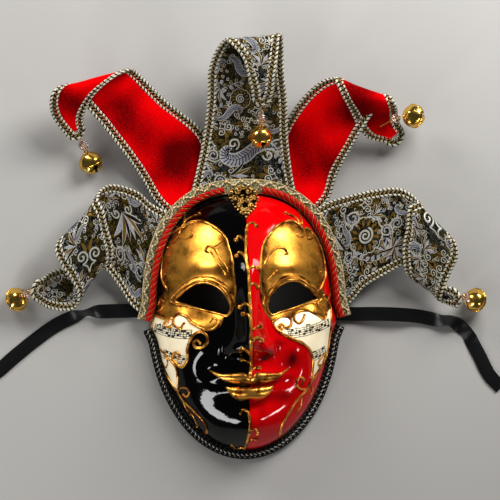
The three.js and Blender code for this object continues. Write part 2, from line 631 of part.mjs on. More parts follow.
// A jingle bell with its loop up: a hollow ball with two crossed slots from below, each with round ends.
function bellGeometry() {
  const radius = bellDiameter / 2
  const wire = bellLoop / 4
  let bell = toSolid(lying(new THREE.SphereGeometry(radius, 8, 6)))
  bell = bell.add(toSolid(new THREE.TorusGeometry(bellLoop / 2, wire, 4, 6).rotateX(Math.PI / 2)
    .translate(0, 0, radius + bellLoop / 2 - wire)))
  bell = bell.subtract(toSolid(lying(new THREE.SphereGeometry(radius - bellWall, 8, 4))))
  for (const turn of [0, Math.PI / 2]) {
    const slot = new THREE.BoxGeometry(bellDiameter * 1.2, bellSlot, radius).translate(0, 0, -radius * 0.6)
    bell = bell.subtract(toSolid(slot.rotateZ(turn)))
  }
  return toGeometry(bell)
}

// A faceted bead, drilled for its thread.
function beadGeometry() {
  const ball = toSolid(lying(new THREE.SphereGeometry(beadDiameter / 2, 8, 4)))
  const bore = toSolid(lying(new THREE.CylinderGeometry(beadBore / 2, beadBore / 2, beadDiameter * 2, 6)))
  return toGeometry(ball.subtract(bore))
}

// A thread in straight stretches between its points.
function threadGeometry(points) {
  const upright = new THREE.Vector3(0, 0, 1)
  return loft(points.map((point, k) => {
    const before = points[Math.max(k - 1, 0)]
    const after = points[Math.min(k + 1, points.length - 1)]
    const along = after.clone().sub(before).normalize()
    const across = new THREE.Vector3().crossVectors(along, upright).normalize()
    return ovalRing(point, across, new THREE.Vector3().crossVectors(across, along), threadDiameter, threadDiameter, 6)
  }))
}

// Where the thread leaves the braid: at the horn's tip, unless the horn names another place.
function tiePlace(horn) {
  if (horn.tie) return hornPlace(horn, horn.tie.x, horn.tie.y, horn.tie.z)
  const tip = hornFrames(horn).pop()
  const reach = (tip.a.distanceTo(tip.b) + hornBraidWidth + threadDiameter) / 2 + gap * 0.9
  return tip.a.clone().add(tip.b).multiplyScalar(0.5).addScaledVector(tip.along, reach)
}

function addHorn(horn) {
  addPiece(`horn_${horn.name}`, hornCloth(horn), horn.cloth)
  addPiece(`braid_${horn.name}`, hornBraid(horn), blackBraid)
  const tie = tiePlace(horn)
  const bell = hornPlace(horn, horn.bell.x, horn.bell.y, horn.bell.z)
  const beadToBell = bellDiameter / 2 + bellLoop + beadDiameter / 2 + 2 * gap
  const bead = horn.bead
    ? hornPlace(horn, horn.bead.x, horn.bead.y, horn.bead.z)
    : bell.clone().lerp(tie, beadToBell / tie.distanceTo(bell))
  const throughBead = bell.clone().sub(tie).setLength(beadDiameter / 2 + gap)
  const toBell = bell.clone().sub(bead).normalize()
  const besideBead = horn.bead ? [bead.clone().sub(throughBead), bead.clone().add(throughBead)] : []
  const threadEnd = bell.clone().addScaledVector(toBell, -bellDiameter / 2 - bellLoop - gap)
  addPiece(`thread_${horn.name}`, threadGeometry([tie, ...besideBead, threadEnd]), goldThread)
  pointAlong(addPiece(`bead_${horn.name}`, beadGeometry(), crystal), bead, tie, bell)
  pointAlong(addPiece(`bell_${horn.name}`, bellGeometry(), polishedBrass), bell, bead, bell)
}

function ribbonGeometry(route) {
  const curve = new THREE.CatmullRomCurve3(route.map(([x, y, z]) => new THREE.Vector3(x, y, z)))
  const rings = []
  for (let i = 0; i <= steps.ribbon; i += 1) {
    const tangent = curve.getTangentAt(i / steps.ribbon)
    const across = new THREE.Vector3(tangent.y, -tangent.x, 0).normalize()
    const up = new THREE.Vector3().crossVectors(across, tangent)
    const centre = curve.getPointAt(i / steps.ribbon)
    const corner = (side, rise) => centre.clone()
      .addScaledVector(across, (side * ribbonWidth) / 2)
      .addScaledVector(up, (rise * ribbonThickness) / 2)
    rings.push([corner(-1, -1), corner(1, -1), corner(1, 1), corner(-1, 1)])
  }
  return loft(rings)
}

// The crest ornament lies on the forehead's upper edge.
function crestGeometry() {
  const size = crestSize / 2
  return loft(crestRows.map(({ down, half }) => {
    const y = foreheadLength - down * size
    const stand = (share, rise) => onFace(share * half * size, y, reliefLift + rise * crestThickness)
    return [stand(-1, 0), stand(-0.5, 0), stand(0, 0), stand(0.5, 0), stand(1, 0), stand(0.6, 0.7), stand(0, 1),
      stand(-0.6, 0.7)]
  }))
}

const hornTop = hornBase + hornLayer + hornThickness / 2
const gimpTop = hornTop + 3 * gap + gimpThickness
const ropeHeight = gimpTop + 2 * gap + ropeDiameter / 2
const chinBraidHeight = chinBraidThickness / 2 + 2 * gap

addPiece('face_shell', faceShell(), lacquer)
for (const [name, side] of [['left', -1], ['right', 1]]) {
  addPiece(`eye_rim_${name}`, ridge(eyeCurve(side, eyeRimWidth / 2), steps.eyeRim, eyeRimWidth, eyeRimHeight, true),
    agedGold)
  addPiece(`relief_eye_${name}`, ridge(faceCurve(eyePatchLine, side), steps.eyePatch, reliefWidth, reliefHeight),
    agedGold)
  addPiece(`relief_cheek_${name}`, ridge(faceCurve(cheekLine, side, true), steps.cheek, reliefWidth, reliefHeight,
    true), agedGold)
  addPiece(`relief_jaw_${name}`, ridge(faceCurve(jawLine, side), steps.jaw, reliefWidth, reliefHeight), agedGold)
  const onSide = (angle) => (side > 0 ? angle : halfTurn - angle)
  addPiece(`rope_${name}`, rimTrim(onSide(ropeTop), onSide(trimEnd), steps.rope, ropeDiameter / 2 + gap, ropeHeight,
    ropeDiameter, ropeDiameter, 6), redSatin)
}
addPiece('relief_center_line', middleRidge(centerLine, reliefWidth, reliefHeight), agedGold)
addPiece('relief_chin_line', middleRidge(chinLine, reliefWidth, reliefHeight), agedGold)
addPiece('lip_upper', lip(upperLip, steps.upperLip), agedGold)
addPiece('lip_lower', lip(lowerLip, steps.lowerLip), agedGold)
addPiece('rim_gimp', rimTrim(trimEnd, halfTurn - trimEnd, steps.gimp, gimpWidth / 2 + gap,
  gimpTop - gimpThickness / 2, gimpWidth, gimpThickness, 4), creamBraid)
addPiece('chin_braid', rimTrim(chinBraidEnd, -halfTurn - chinBraidEnd, steps.chinBraid, chinBraidWidth / 2 + 2 * gap,
  chinBraidHeight, chinBraidWidth, chinBraidThickness, 6), blackBraid)
addPiece('crest_ornament', crestGeometry(), agedGold)
for (const horn of horns) addHorn(horn)
const ribbons = Object.entries(ribbonRoutes).map(([name, route]) => (
  addPiece(`ribbon_${name}`, ribbonGeometry(route), blackSatin)))

// The origin is under the middle of the mask, ties left out.
group.updateMatrixWorld(true)
const bounds = new THREE.Box3()
group.children.filter((mesh) => !ribbons.includes(mesh)).forEach((mesh) => bounds.expandByObject(mesh, true))
const middle = bounds.getCenter(new THREE.Vector3())
group.position.set(-middle.x, -middle.y, -bounds.min.z)

export default group
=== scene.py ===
# A jester mask that lies face up on a pale studio floor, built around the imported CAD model.
import math
import random

import bmesh
import bpy
import numpy as np
from mathutils import Matrix, Vector


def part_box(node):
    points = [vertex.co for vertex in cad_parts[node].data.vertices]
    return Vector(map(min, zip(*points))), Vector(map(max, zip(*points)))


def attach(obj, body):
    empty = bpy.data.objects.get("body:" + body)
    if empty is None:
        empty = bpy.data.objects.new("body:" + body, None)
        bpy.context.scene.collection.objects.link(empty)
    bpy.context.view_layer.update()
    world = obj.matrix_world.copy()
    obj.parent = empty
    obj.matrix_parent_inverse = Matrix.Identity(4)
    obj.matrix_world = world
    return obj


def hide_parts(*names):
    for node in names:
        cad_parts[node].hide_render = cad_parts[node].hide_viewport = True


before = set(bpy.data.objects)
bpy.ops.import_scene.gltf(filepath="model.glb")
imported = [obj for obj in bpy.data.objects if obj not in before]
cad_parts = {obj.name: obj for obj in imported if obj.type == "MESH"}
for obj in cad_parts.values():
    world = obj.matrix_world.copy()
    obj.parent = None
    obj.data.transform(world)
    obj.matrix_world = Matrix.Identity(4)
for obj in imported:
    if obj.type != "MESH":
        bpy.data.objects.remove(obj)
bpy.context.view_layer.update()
print("frame loaded:", len(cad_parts), "nodes")

# Everything below is drawn in millimetres from the middle of the face's widest line, on the plane of
# its rim.
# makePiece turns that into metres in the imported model's frame.
faceForm = {
    "width": 172,
    "foreheadLength": 110,
    "chinLength": 124,
    "depth": 60,
    "wall": 2.5,
    "foreheadSquareness": 2.5,
    "chinSquareness": 2,
    "domePower": 0.4,
    "earFlare": 0.06,
    "earAngle": math.radians(-5),
    "earSpread": math.radians(8),
    "grid": 150,
}
# Swells and hollows: across, up, spread across, spread up, rise, in shares of half width, reach and depth.
faceSwells = [
    (0, 0.62, 0.5, 0.3, 0.1),
    (0.38, 0.35, 0.3, 0.09, 0.08),
    (0.47, 0.115, 0.22, 0.12, -0.2),
    (0, 0.19, 0.11, 0.2, 0.2),
    (0, -0.05, 0.13, 0.16, 0.27),
    (0, -0.19, 0.15, 0.1, 0.27),
    (0.16, -0.24, 0.08, 0.06, 0.13),
    (0.5, -0.19, 0.26, 0.2, 0.14),
    (0.43, -0.4, 0.09, 0.07, -0.08),
    (0.15, -0.315, 0.055, 0.022, -0.09),
    (0.29, -0.27, 0.03, 0.06, -0.05),
    (0.14, -0.45, 0.2, 0.05, 0.1),
    (0, -0.51, 0.3, 0.025, -0.06),
    (0, -0.565, 0.2, 0.05, 0.12),
    (0, -0.66, 0.25, 0.045, -0.07),
    (0, -0.83, 0.24, 0.13, 0.16),
]
# How the photographer stood: the camera leans a little over the mask's left side and is turned a little.
view = {
    "distance": 1500,
    "lens": 120,
    "lean": math.radians(5),
    "turn": math.radians(0.9),
    "aimX": 4.2,
    "aimY": 58.5,
    "aimZ": 30,
    "scale": 0.9,
}
halfWidth = faceForm["width"] / 2
templeReach = halfWidth * 0.93
foreheadReach = faceForm["foreheadLength"] * 1.064
chinReach = faceForm["chinLength"] * 0.944
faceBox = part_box("face_shell")
shift = np.array([
    (faceBox[0].x + faceBox[1].x) * 500,
    faceBox[1].y * 1000 - faceForm["foreheadLength"],
    0,
])


def unit(vectors):
    return vectors / np.maximum(np.linalg.norm(vectors, axis=-1, keepdims=True), 1e-9)


def rimRadius(angle):
    form = faceForm
    isForehead = np.sin(angle) >= 0
    length = np.where(isForehead, form["foreheadLength"], form["chinLength"])
    power = np.where(isForehead, form["foreheadSquareness"], form["chinSquareness"])
    sideways = np.abs(np.cos(angle)) / templeReach
    upright = np.abs(np.sin(angle)) / length
    oval = (sideways ** power + upright ** power) ** (-1 / power)
    slant = np.arcsin(np.clip(np.sin(angle), -1, 1))
    flare = np.exp(-(((slant - form["earAngle"]) / form["earSpread"]) ** 2))
    return oval * (1 + form["earFlare"] * flare)


def faceHeightAt(x, y, radius):
    dome = np.maximum(1 - radius * radius, 0) ** faceForm["domePower"]
    share = y / np.where(y > 0, foreheadReach, chinReach)
    swell = 0
    for across, up, spreadAcross, spreadUp, rise in faceSwells:
        for side in ([1] if across == 0 else [1, -1]):
            offX = (x / halfWidth - side * across) / spreadAcross
            offY = (share - up) / spreadUp
            swell = swell + rise * np.exp(-offX * offX - offY * offY)
    return faceForm["depth"] * (dome + (1 - radius ** 8) * swell)


def rimShare(x, y):
    return np.hypot(x, y) / rimRadius(np.arctan2(y, x))


def faceHeight(x, y):
    return faceHeightAt(x, y, np.minimum(rimShare(x, y), 1))


def faceNormal(x, y):
    slopeX = faceHeight(x + 0.5, y) - faceHeight(x - 0.5, y)
    slopeY = faceHeight(x, y + 0.5) - faceHeight(x, y - 0.5)
    return unit(np.stack([-slopeX, -slopeY, np.ones_like(slopeX)], -1))


def onFace(plan, lift=0.0):
    x = plan[:, 0]
    y = plan[:, 1]
    lift = np.broadcast_to(np.asarray(lift, float), x.shape)
    return np.stack([x, y, faceHeight(x, y)], -1) + faceNormal(x, y) * lift[:, None]


# Lines on the mask are drawn on a flat sketch of 500 by 500 units, seen from the camera, with y down.
def fromSketch(points):
    drawn = np.array(points, float)
    turn = math.tan(view["turn"])
    flatX = (drawn[:, 0] - 246.5 - turn * (drawn[:, 1] - 325)) * view["scale"]
    flatY = (315 - drawn[:, 1] - turn * (drawn[:, 0] - 246.5)) * view["scale"]
    x = flatX
    y = flatY
    for _ in range(3):
        rise = faceHeight(x, y) - view["aimZ"]
        x = flatX - rise * math.tan(view["lean"]) - (flatX - view["aimX"]) * rise / view["distance"]
        y = flatY - (flatY - view["aimY"]) * rise / view["distance"]
    return np.stack([x, y], -1)


# A smooth line through its points, which leans on the distance between them, as the CAD model's lines do.
def smoothLine(points, perSpan, closed=False):
    points = np.asarray(points, float)
    count = len(points)
    spans = count if closed else count - 1
    shares = np.arange(perSpan)[:, None] / perSpan
    pieces = []
    for k in range(spans):
        p1 = points[k]
        p2 = points[(k + 1) % count]
        p0 = points[(k - 1) % count] if closed or k > 0 else 2 * p1 - p2
        p3 = points[(k + 2) % count] if closed or k + 2 < count else 2 * p2 - p1
        d0, d1, d2 = (max(np.linalg.norm(q - p) ** 0.5, 1e-4) for p, q in ((p0, p1), (p1, p2), (p2, p3)))
        t1 = ((p1 - p0) / d0 - (p2 - p0) / (d0 + d1) + (p2 - p1) / d1) * d1
        t2 = ((p2 - p1) / d1 - (p3 - p1) / (d1 + d2) + (p3 - p2) / d2) * d1
        pieces.append(
            p1 + t1 * shares + (3 * (p2 - p1) - 2 * t1 - t2) * shares ** 2 + (2 * (p1 - p2) + t1 + t2)
                * shares ** 3
        )
    if not closed:
        pieces.append(points[-1:])
    return np.concatenate(pieces)


def arcOf(line):
    return np.concatenate([[0], np.cumsum(np.linalg.norm(np.diff(line, axis=0), axis=1))])


# The same line with its points a fixed step apart.
def spaced(line, step, closed=False):
    if closed:
        line = np.concatenate([line, line[:1]])
    arc = arcOf(line)
    count = max(int(round(arc[-1] / step)), 3)
    places = np.linspace(0, arc[-1], count + 1)
    if closed:
        places = places[:-1]
    return np.stack([np.interp(places, arc, line[:, k]) for k in range(line.shape[1])], -1)


def newShape():
    return {"points": [], "faces": [], "finish": [], "uv": [], "count": 0}


# Adds a net of points, rows by columns, with four-sided faces.
def addNet(shape, net, finish=0, closedAcross=False, closedAlong=False, uv=None, keep=None):
    rows, columns = net.shape[:2]
    lastRow = rows if closedAlong else rows - 1
    lastColumn = columns if closedAcross else columns - 1
    i, j = np.meshgrid(np.arange(lastRow), np.arange(lastColumn), indexing="ij")
    nextRow = (i + 1) % rows
    nextColumn = (j + 1) % columns
    corners = [i * columns + j, i * columns + nextColumn, nextRow * columns + nextColumn,
        nextRow * columns + j]
    faces = np.stack(corners, -1).reshape(-1, 4) + shape["count"]
    if keep is not None:
        faces = faces[keep.reshape(-1)]
    shape["points"].append(net.reshape(-1, 3))
    shape["uv"].append(np.zeros((rows * columns, 2)) if uv is None else uv.reshape(-1, 2))
    shape["faces"].append(faces)
    shape["finish"].append(np.full(len(faces), finish))
    shape["count"] += rows * columns


def directions(line, closed=False):
    if closed:
        return unit(np.roll(line, -1, axis=0) - np.roll(line, 1, axis=0))
    return unit(np.gradient(line, axis=0))


# A round or flattened wire along a line, thinned to nothing at open ends.
def addWire(shape, line, radius, up=None, flat=1.0, sides=6, finish=0, closed=False):
    along = directions(line, closed)
    radius = np.broadcast_to(np.asarray(radius, float), (len(line),)).copy()
    if up is None:
        up = np.tile([0.0, 0.0, 1.0], (len(line), 1))
        steep = np.abs(along[:, 2]) > 0.95
        up[steep] = [1.0, 0.0, 0.0]
    side = unit(np.cross(along, up))
    top = np.cross(side, along)
    if not closed:
        line = np.concatenate([line[:1], line, line[-1:]])
        side = np.concatenate([side[:1], side, side[-1:]])
        top = np.concatenate([top[:1], top, top[-1:]])
        radius = np.concatenate([[radius[0] * 0.02], radius, [radius[-1] * 0.02]])
    turn = np.arange(sides) / sides * 2 * math.pi
    ring = (side[:, None] * np.cos(turn)[None, :, None] + top[:, None] * np.sin(turn)[None, :, None] * flat)
    addNet(shape, line[:, None] + ring * radius[:, None, None], finish, closedAcross=True, closedAlong=closed)


# A cord of several strands that wind round a line.
def addTwist(shape, line, across, up, halfWidth, halfHeight, pitch, finishes, hand=1, sides=6, offset=0.0,
    strand=0.6,
             phase=0.0):
    arc = arcOf(line)
    for k, finish in enumerate(finishes):
        turn = hand * 2 * math.pi * (arc / pitch + k / len(finishes) + phase)
        reachAcross = (halfWidth * (1 - strand)) * np.cos(turn) + offset
        reachUp = (halfHeight * (1 - strand)) * np.sin(turn)
        middle = line + across * reachAcross[:, None] + up * reachUp[:, None]
        addWire(shape, middle, halfWidth * strand, up=up, flat=halfHeight / halfWidth, sides=sides,
            finish=finish)


def makePiece(name, shape, finishes, replaced=(), smooth=True, tidy=True):
    points = (np.concatenate(shape["points"]) + shift) / 1000
    faces = np.concatenate(shape["faces"])
    mesh = bpy.data.meshes.new(name)
    mesh.from_pydata(points.tolist(), [], faces.tolist())
    mesh.polygons.foreach_set("material_index", np.concatenate(shape["finish"]).astype(np.int32))
    mesh.polygons.foreach_set("use_smooth", np.full(len(faces), smooth))
    layer = mesh.uv_layers.new(name="cloth")
    corners = np.empty(len(mesh.loops), np.int32)
    mesh.loops.foreach_get("vertex_index", corners)
    layer.data.foreach_set("uv", np.concatenate(shape["uv"])[corners].astype(np.float32).reshape(-1))
    for finish in finishes:
        mesh.materials.append(finish)
    if tidy:
        turned = bmesh.new()
        turned.from_mesh(mesh)
        bmesh.ops.recalc_face_normals(turned, faces=turned.faces)
        turned.to_mesh(mesh)
        turned.free()
    piece = bpy.data.objects.new(name, mesh)
    bpy.context.scene.collection.objects.link(piece)
    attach(piece, "root")
    if replaced:
        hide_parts(*replaced)
    return piece


def setLayer(piece, name, values):
    layer = piece.data.attributes.new(name, "FLOAT", "POINT")
    layer.data.foreach_set("value", np.asarray(values, np.float32))


def toLinear(code):
    parts = [int(code[k:k + 2], 16) / 255 for k in (1, 3, 5)]
    linear = [part / 12.92 if part <= 0.04045 else ((part + 0.055) / 1.055) ** 2.4 for part in parts]
    return (*linear, 1.0)


# Adds a node. Settings are its own options, and inputs are values or other nodes' outputs.
def addNode(tree, kind, inputs=None, **settings):
    node = tree.nodes.new(kind)
    for key, value in settings.items():
        setattr(node, key, value)
    for key, value in (inputs or {}).items():
        if isinstance(value, bpy.types.NodeSocket):
            tree.links.new(value, node.inputs[key])
        else:
            node.inputs[key].default_value = value
    return node


def addMix(tree, share, low, high):
    return addNode(tree, "ShaderNodeMix", {0: share, 6: low, 7: high}, data_type="RGBA")


def newMaterial(name):
    made = bpy.data.materials.new(name)
    made.use_nodes = True
    made.node_tree.nodes.clear()
    return made, made.node_tree


def finishMaterial(tree, shader):
    addNode(tree, "ShaderNodeOutputMaterial", {"Surface": shader.outputs[0]})


# Spun thread: a lurex or cotton yarn, whose tiny fibres break up its shine and shade.
def threadMaterial(name, light, dark, metallic, roughness, grain=0.5, sheen=0.0, gloss=0.5):
    made, tree = newMaterial(name)
    place = addNode(tree, "ShaderNodeTexCoord").outputs["Object"]
    # Fibre flecks are drawn grain millimetres wide, coarser than real ones, so that they show.
    fleck = addNode(tree, "ShaderNodeTexNoise", {"Vector": place, "Scale": 1000 / grain, "Detail": 2.0})
    share = addNode(tree, "ShaderNodeMapRange",
        {"Value": fleck.outputs[0], "From Min": 0.35, "From Max": 0.65})
    colour = addMix(tree, share.outputs[0], toLinear(dark), toLinear(light))
    bump = addNode(tree, "ShaderNodeBump", {"Height": fleck.outputs[0], "Distance": 0.0003, "Strength": 0.5})
    shader = addNode(tree, "ShaderNodeBsdfPrincipled", {
        "Base Color": colour.outputs[2],
        "Metallic": metallic,
        "Roughness": roughness,
        "Specular IOR Level": gloss,
        "Normal": bump.outputs[0],
        "Sheen Weight": sheen,
    })
    finishMaterial(tree, shader)
    return made


# Gold leaf laid on gesso paste and toned with brown wax: bright where it was rubbed, ochre and brown
# in the hollows.
def goldLeafMaterial(name, patch=9.0, light="#fdbc58", dark="#733d0c"):
    made, tree = newMaterial(name)
    place = addNode(tree, "ShaderNodeTexCoord").outputs["Object"]
    wax = addNode(tree, "ShaderNodeTexNoise",
        {"Vector": place, "Scale": 1000 / patch, "Detail": 5.0, "Roughness": 0.65})
    share = addNode(tree, "ShaderNodeMapRange", {"Value": wax.outputs[0], "From Min": 0.38, "From Max": 0.56})
    colour = addMix(tree, share.outputs[0], toLinear(dark), toLinear(light))
    shine = addNode(tree, "ShaderNodeMapRange",
        {"Value": wax.outputs[0], "From Min": 0.3, "From Max": 0.7, "To Min": 0.42, "To Max": 0.24})
    brush = addNode(tree, "ShaderNodeTexNoise", {"Vector": place, "Scale": 700.0, "Detail": 3.0})
    bump = addNode(tree, "ShaderNodeBump", {"Height": brush.outputs[0], "Distance": 0.0004, "Strength": 0.35})
    shader = addNode(tree, "ShaderNodeBsdfPrincipled", {
        "Base Color": colour.outputs[2],
        "Metallic": 0.9,
        "Roughness": shine.outputs[0],
        "Normal": bump.outputs[0],
    })
    finishMaterial(tree, shader)
    return made


# Camera: at the photograph's angle, almost straight above.
def makeCamera():
    aim = (np.array([view["aimX"], view["aimY"], view["aimZ"]]) + shift) / 1000
    reach = view["distance"] / 1000
    place = aim + np.array([-math.sin(view["lean"]), 0, math.cos(view["lean"])]) * reach
    back = Vector(place - aim).normalized()
    top = Vector((math.sin(view["turn"]), math.cos(view["turn"]), 0))
    right = top.cross(back).normalized()
    top = back.cross(right)
    data = bpy.data.cameras.new("camera")
    data.lens = view["lens"]
    data.sensor_width = 36
    data.clip_start = 0.05
    camera = bpy.data.objects.new("camera", data)
    turned = Matrix((right, top, back)).transposed().to_4x4()
    camera.matrix_world = Matrix.Translation(Vector(place)) @ turned
    bpy.context.scene.collection.objects.link(camera)
    bpy.context.scene.camera = camera


makeCamera()

# Ties: satin ribbon, which leaves the rim flat, twists on its edge once and lies down to a cut end.
ties = {
    "width": 12.7,
    "thickness": 0.5,
    "lift": 0.3,
    "left": [
        (-84.4, 6, 3), (-105, 5, 3.5), (-123, 5, 8), (-143, 4, 7), (-156, 0, 3), (-171, -7, 1.2),
            (-190, -20, 0.9),
        (-209, -35, 0.9), (-222, -46, 0.9), (-233, -54, 0.9),
    ],
    "right": [
        (85.4, -1, 3), (104, -2, 3.5), (120, -2, 7), (142, -3, 8), (161, -5, 4), (180, -9, 1.6),
            (192, -10, 1.2),
        (205, -19, 0.9), (217, -39, 0.9), (228, -61, 0.9), (239, -73, 0.9),
    ],
    # Where each tie tips up on its edge: its place along the route, how far it spreads and the angle.
    "tips": {"left": [(0.36, 0.06, 62)], "right": [(0.55, 0.05, 48), (0.68, 0.04, -35)]},
}


def makeSatin():
    # Black acetate satin: long floats give a streak of shine along the ribbon and a soft rib across it.
    made, tree = newMaterial("blackAcetateSatin")
    cloth = addNode(tree, "ShaderNodeUVMap", uv_map="cloth").outputs[0]
    rib = addNode(tree, "ShaderNodeTexWave", {"Vector": cloth, "Scale": 700.0, "Distortion": 0.4},
        bands_direction="Y")
    bump = addNode(tree, "ShaderNodeBump", {"Height": rib.outputs[1], "Distance": 0.0002, "Strength": 0.2})
    shader = addNode(tree, "ShaderNodeBsdfPrincipled", {
        "Base Color": toLinear("#0b0b0d"),
        "Roughness": 0.38,
        "Anisotropic": 0.4,
        "Sheen Weight": 0.05,
        "Normal": bump.outputs[0],
    })
    finishMaterial(tree, shader)
    return made


def makeTie(side, satin):
    route = spaced(smoothLine(ties[side], 16), 2.0)
    arc = arcOf(route)
    along = directions(route)
    flatAcross = unit(np.stack([along[:, 1], -along[:, 0], np.zeros(len(route))], -1))
    up = np.cross(flatAcross, along)
    share = arc / arc[-1]
    tip = np.zeros(len(route))
    for place, spread, angle in ties["tips"][side]:
        tip += math.radians(angle) * np.exp(-(((share - place) / spread) ** 2))
    across = flatAcross * np.cos(tip)[:, None] + up * np.sin(tip)[:, None]
    face = np.cross(across, along)
    # A tipped ribbon stands higher, so that its lower edge stays on the floor.
    rise = np.maximum(np.abs(across[:, 2]) * ties["width"] / 2 + 0.3 - route[:, 2], 0)
    middle = route + np.stack([rise * 0, rise * 0, rise], -1)
    shape = newShape()
    steps = np.linspace(-1, 1, 9)
    cup = (1 - steps ** 2) * 0.35
    for sign in (1, -1):
        net = middle[:, None] + across[:, None] * (steps * ties["width"] / 2)[None, :, None]
        net = net + face[:, None] * (cup + sign * ties["thickness"] / 2)[None, :, None]
        uv = np.stack(np.broadcast_arrays(steps[None, :] * ties["width"] / 2000, arc[:, None] / 1000), -1)
        addNet(shape, net, uv=uv)
    piece = makePiece("tie_" + side, shape, [satin], ["ribbon_" + side])


satin = makeSatin()
makeTie("left", satin)
makeTie("right", satin)
print("camera and ties made")

# The face.
eyes = {
    "half": 22.5,
    "apart": 80,
    "up": 15,
    "outline": [
        (-1, -0.3), (-0.9, 0.08), (-0.6, 0.45), (-0.2, 0.64), (0.2, 0.62), (0.6, 0.38), (1, -0.04),
            (0.55, -0.2),
        (0.05, -0.33), (-0.45, -0.48), (-0.85, -0.58),
    ],
    "rimWidth": 4.0,
    "rimRise": 2.6,
}
# Zones of the face, drawn on the sketch: gilt patches round the eyes and printed paper on the cheeks.
zones = {
    "gold": [
        [
            (167, 289), (162, 279), (163, 260), (165, 246), (171, 235), (179, 229), (184, 227), (191, 222),
                (198, 221),
            (207, 223), (217, 229), (225, 237), (229, 249), (232, 260), (233.5, 273), (235.5, 286),
                (235, 300),
            (232, 312), (224, 317), (221, 325), (213, 330), (205, 329), (196, 325), (188, 318), (181, 314),
                (174, 317),
            (167, 319), (158, 316), (153, 316), (154, 306), (158, 299),
        ],
        [
            (260, 286), (260.4, 266), (261.7, 254), (264, 243), (269, 235), (276, 227), (285, 222),
                (293, 221),
            (300, 226), (304, 229), (307, 228), (313, 233), (319, 243), (323, 254), (325, 266), (325.5, 276),
            (323, 288), (329, 298), (331, 309), (326, 320), (316, 315), (309, 311), (301, 312), (294, 316),
                (290, 320),
            (286, 316), (278, 318), (273, 323), (269, 318), (264, 310), (260.5, 300),
        ],
    ],
    "paper": [
        [
            (153, 316), (158, 316), (167, 319), (174, 317), (181, 314), (188, 318), (196, 325), (205, 329),
                (199, 331),
            (193, 336), (189, 343), (187, 350), (187, 359), (181, 366), (176, 361), (166, 356), (158, 347),
            (154, 335),
        ],
        [(158, 347), (163, 352), (168, 357), (174, 363), (177, 371), (178, 381), (176, 389), (171, 380),
            (163, 363)],
        [
            (273, 323), (278, 318), (286, 316), (290, 320), (294, 316), (301, 312), (309, 311), (316, 315),
                (326, 320),
            (328, 313), (330.5, 309), (331, 325), (329, 341), (327, 355), (321, 366), (311, 379),
                (312.5, 368),
            (310, 350), (304, 344), (291, 338), (279, 331),
        ],
    ],
}


def eyeLine(side, grow=0.0, perSpan=12):
    points = []
    for x, y in eyes["outline"]:
        push = 1 + grow / (eyes["half"] * math.hypot(x, y))
        points.append((side * (eyes["apart"] / 2 + x * push * eyes["half"]),
            eyes["up"] + y * push * eyes["half"]))
    return smoothLine(points, perSpan, closed=True)


# How far inside an outline a point lies, in millimetres. Outside it is below zero.
def depthInside(outline, points):
    inside = np.zeros(len(points), bool)
    nearest = np.full(len(points), 1e9)
    for start, end in zip(outline, np.roll(outline, -1, axis=0)):
        edge = end - start
        share = np.clip(((points - start) @ edge) / max(edge @ edge, 1e-9), 0, 1)
        nearest = np.minimum(nearest, np.linalg.norm(points - start - share[:, None] * edge, axis=1))
        crosses = (start[1] > points[:, 1]) != (end[1] > points[:, 1])
        with np.errstate(divide="ignore", invalid="ignore"):
            at = start[0] + (points[:, 1] - start[1]) * edge[0] / edge[1]
        inside ^= crosses & (points[:, 0] < at)
    return np.where(inside, nearest, -nearest)


def zoneDepth(outlines, points):
    depth = np.full(len(points), -1e9)
    for outline in outlines:
        line = fromSketch(smoothLine(outline, 5, closed=True))
        depth = np.maximum(depth, depthInside(line, points))
    return np.clip(depth, -12, 12)


# Painted shade in the hollows beside the nose and under the lips: middle on the sketch, reach across and
# along in mm, and strength.
paintedHollowShade = [
    (268, 355, 5.5, 3.5, 1.0),
    (293, 359, 4.0, 6.5, 0.85),
    (281, 343, 6.0, 2.2, 0.4),
    (262, 340, 3.5, 12.0, 0.45),
    (285, 396, 9.0, 4.5, 0.5),
    (290, 378, 5.0, 4.0, 0.4),
    (262, 405, 3.5, 14.0, 0.3),
]


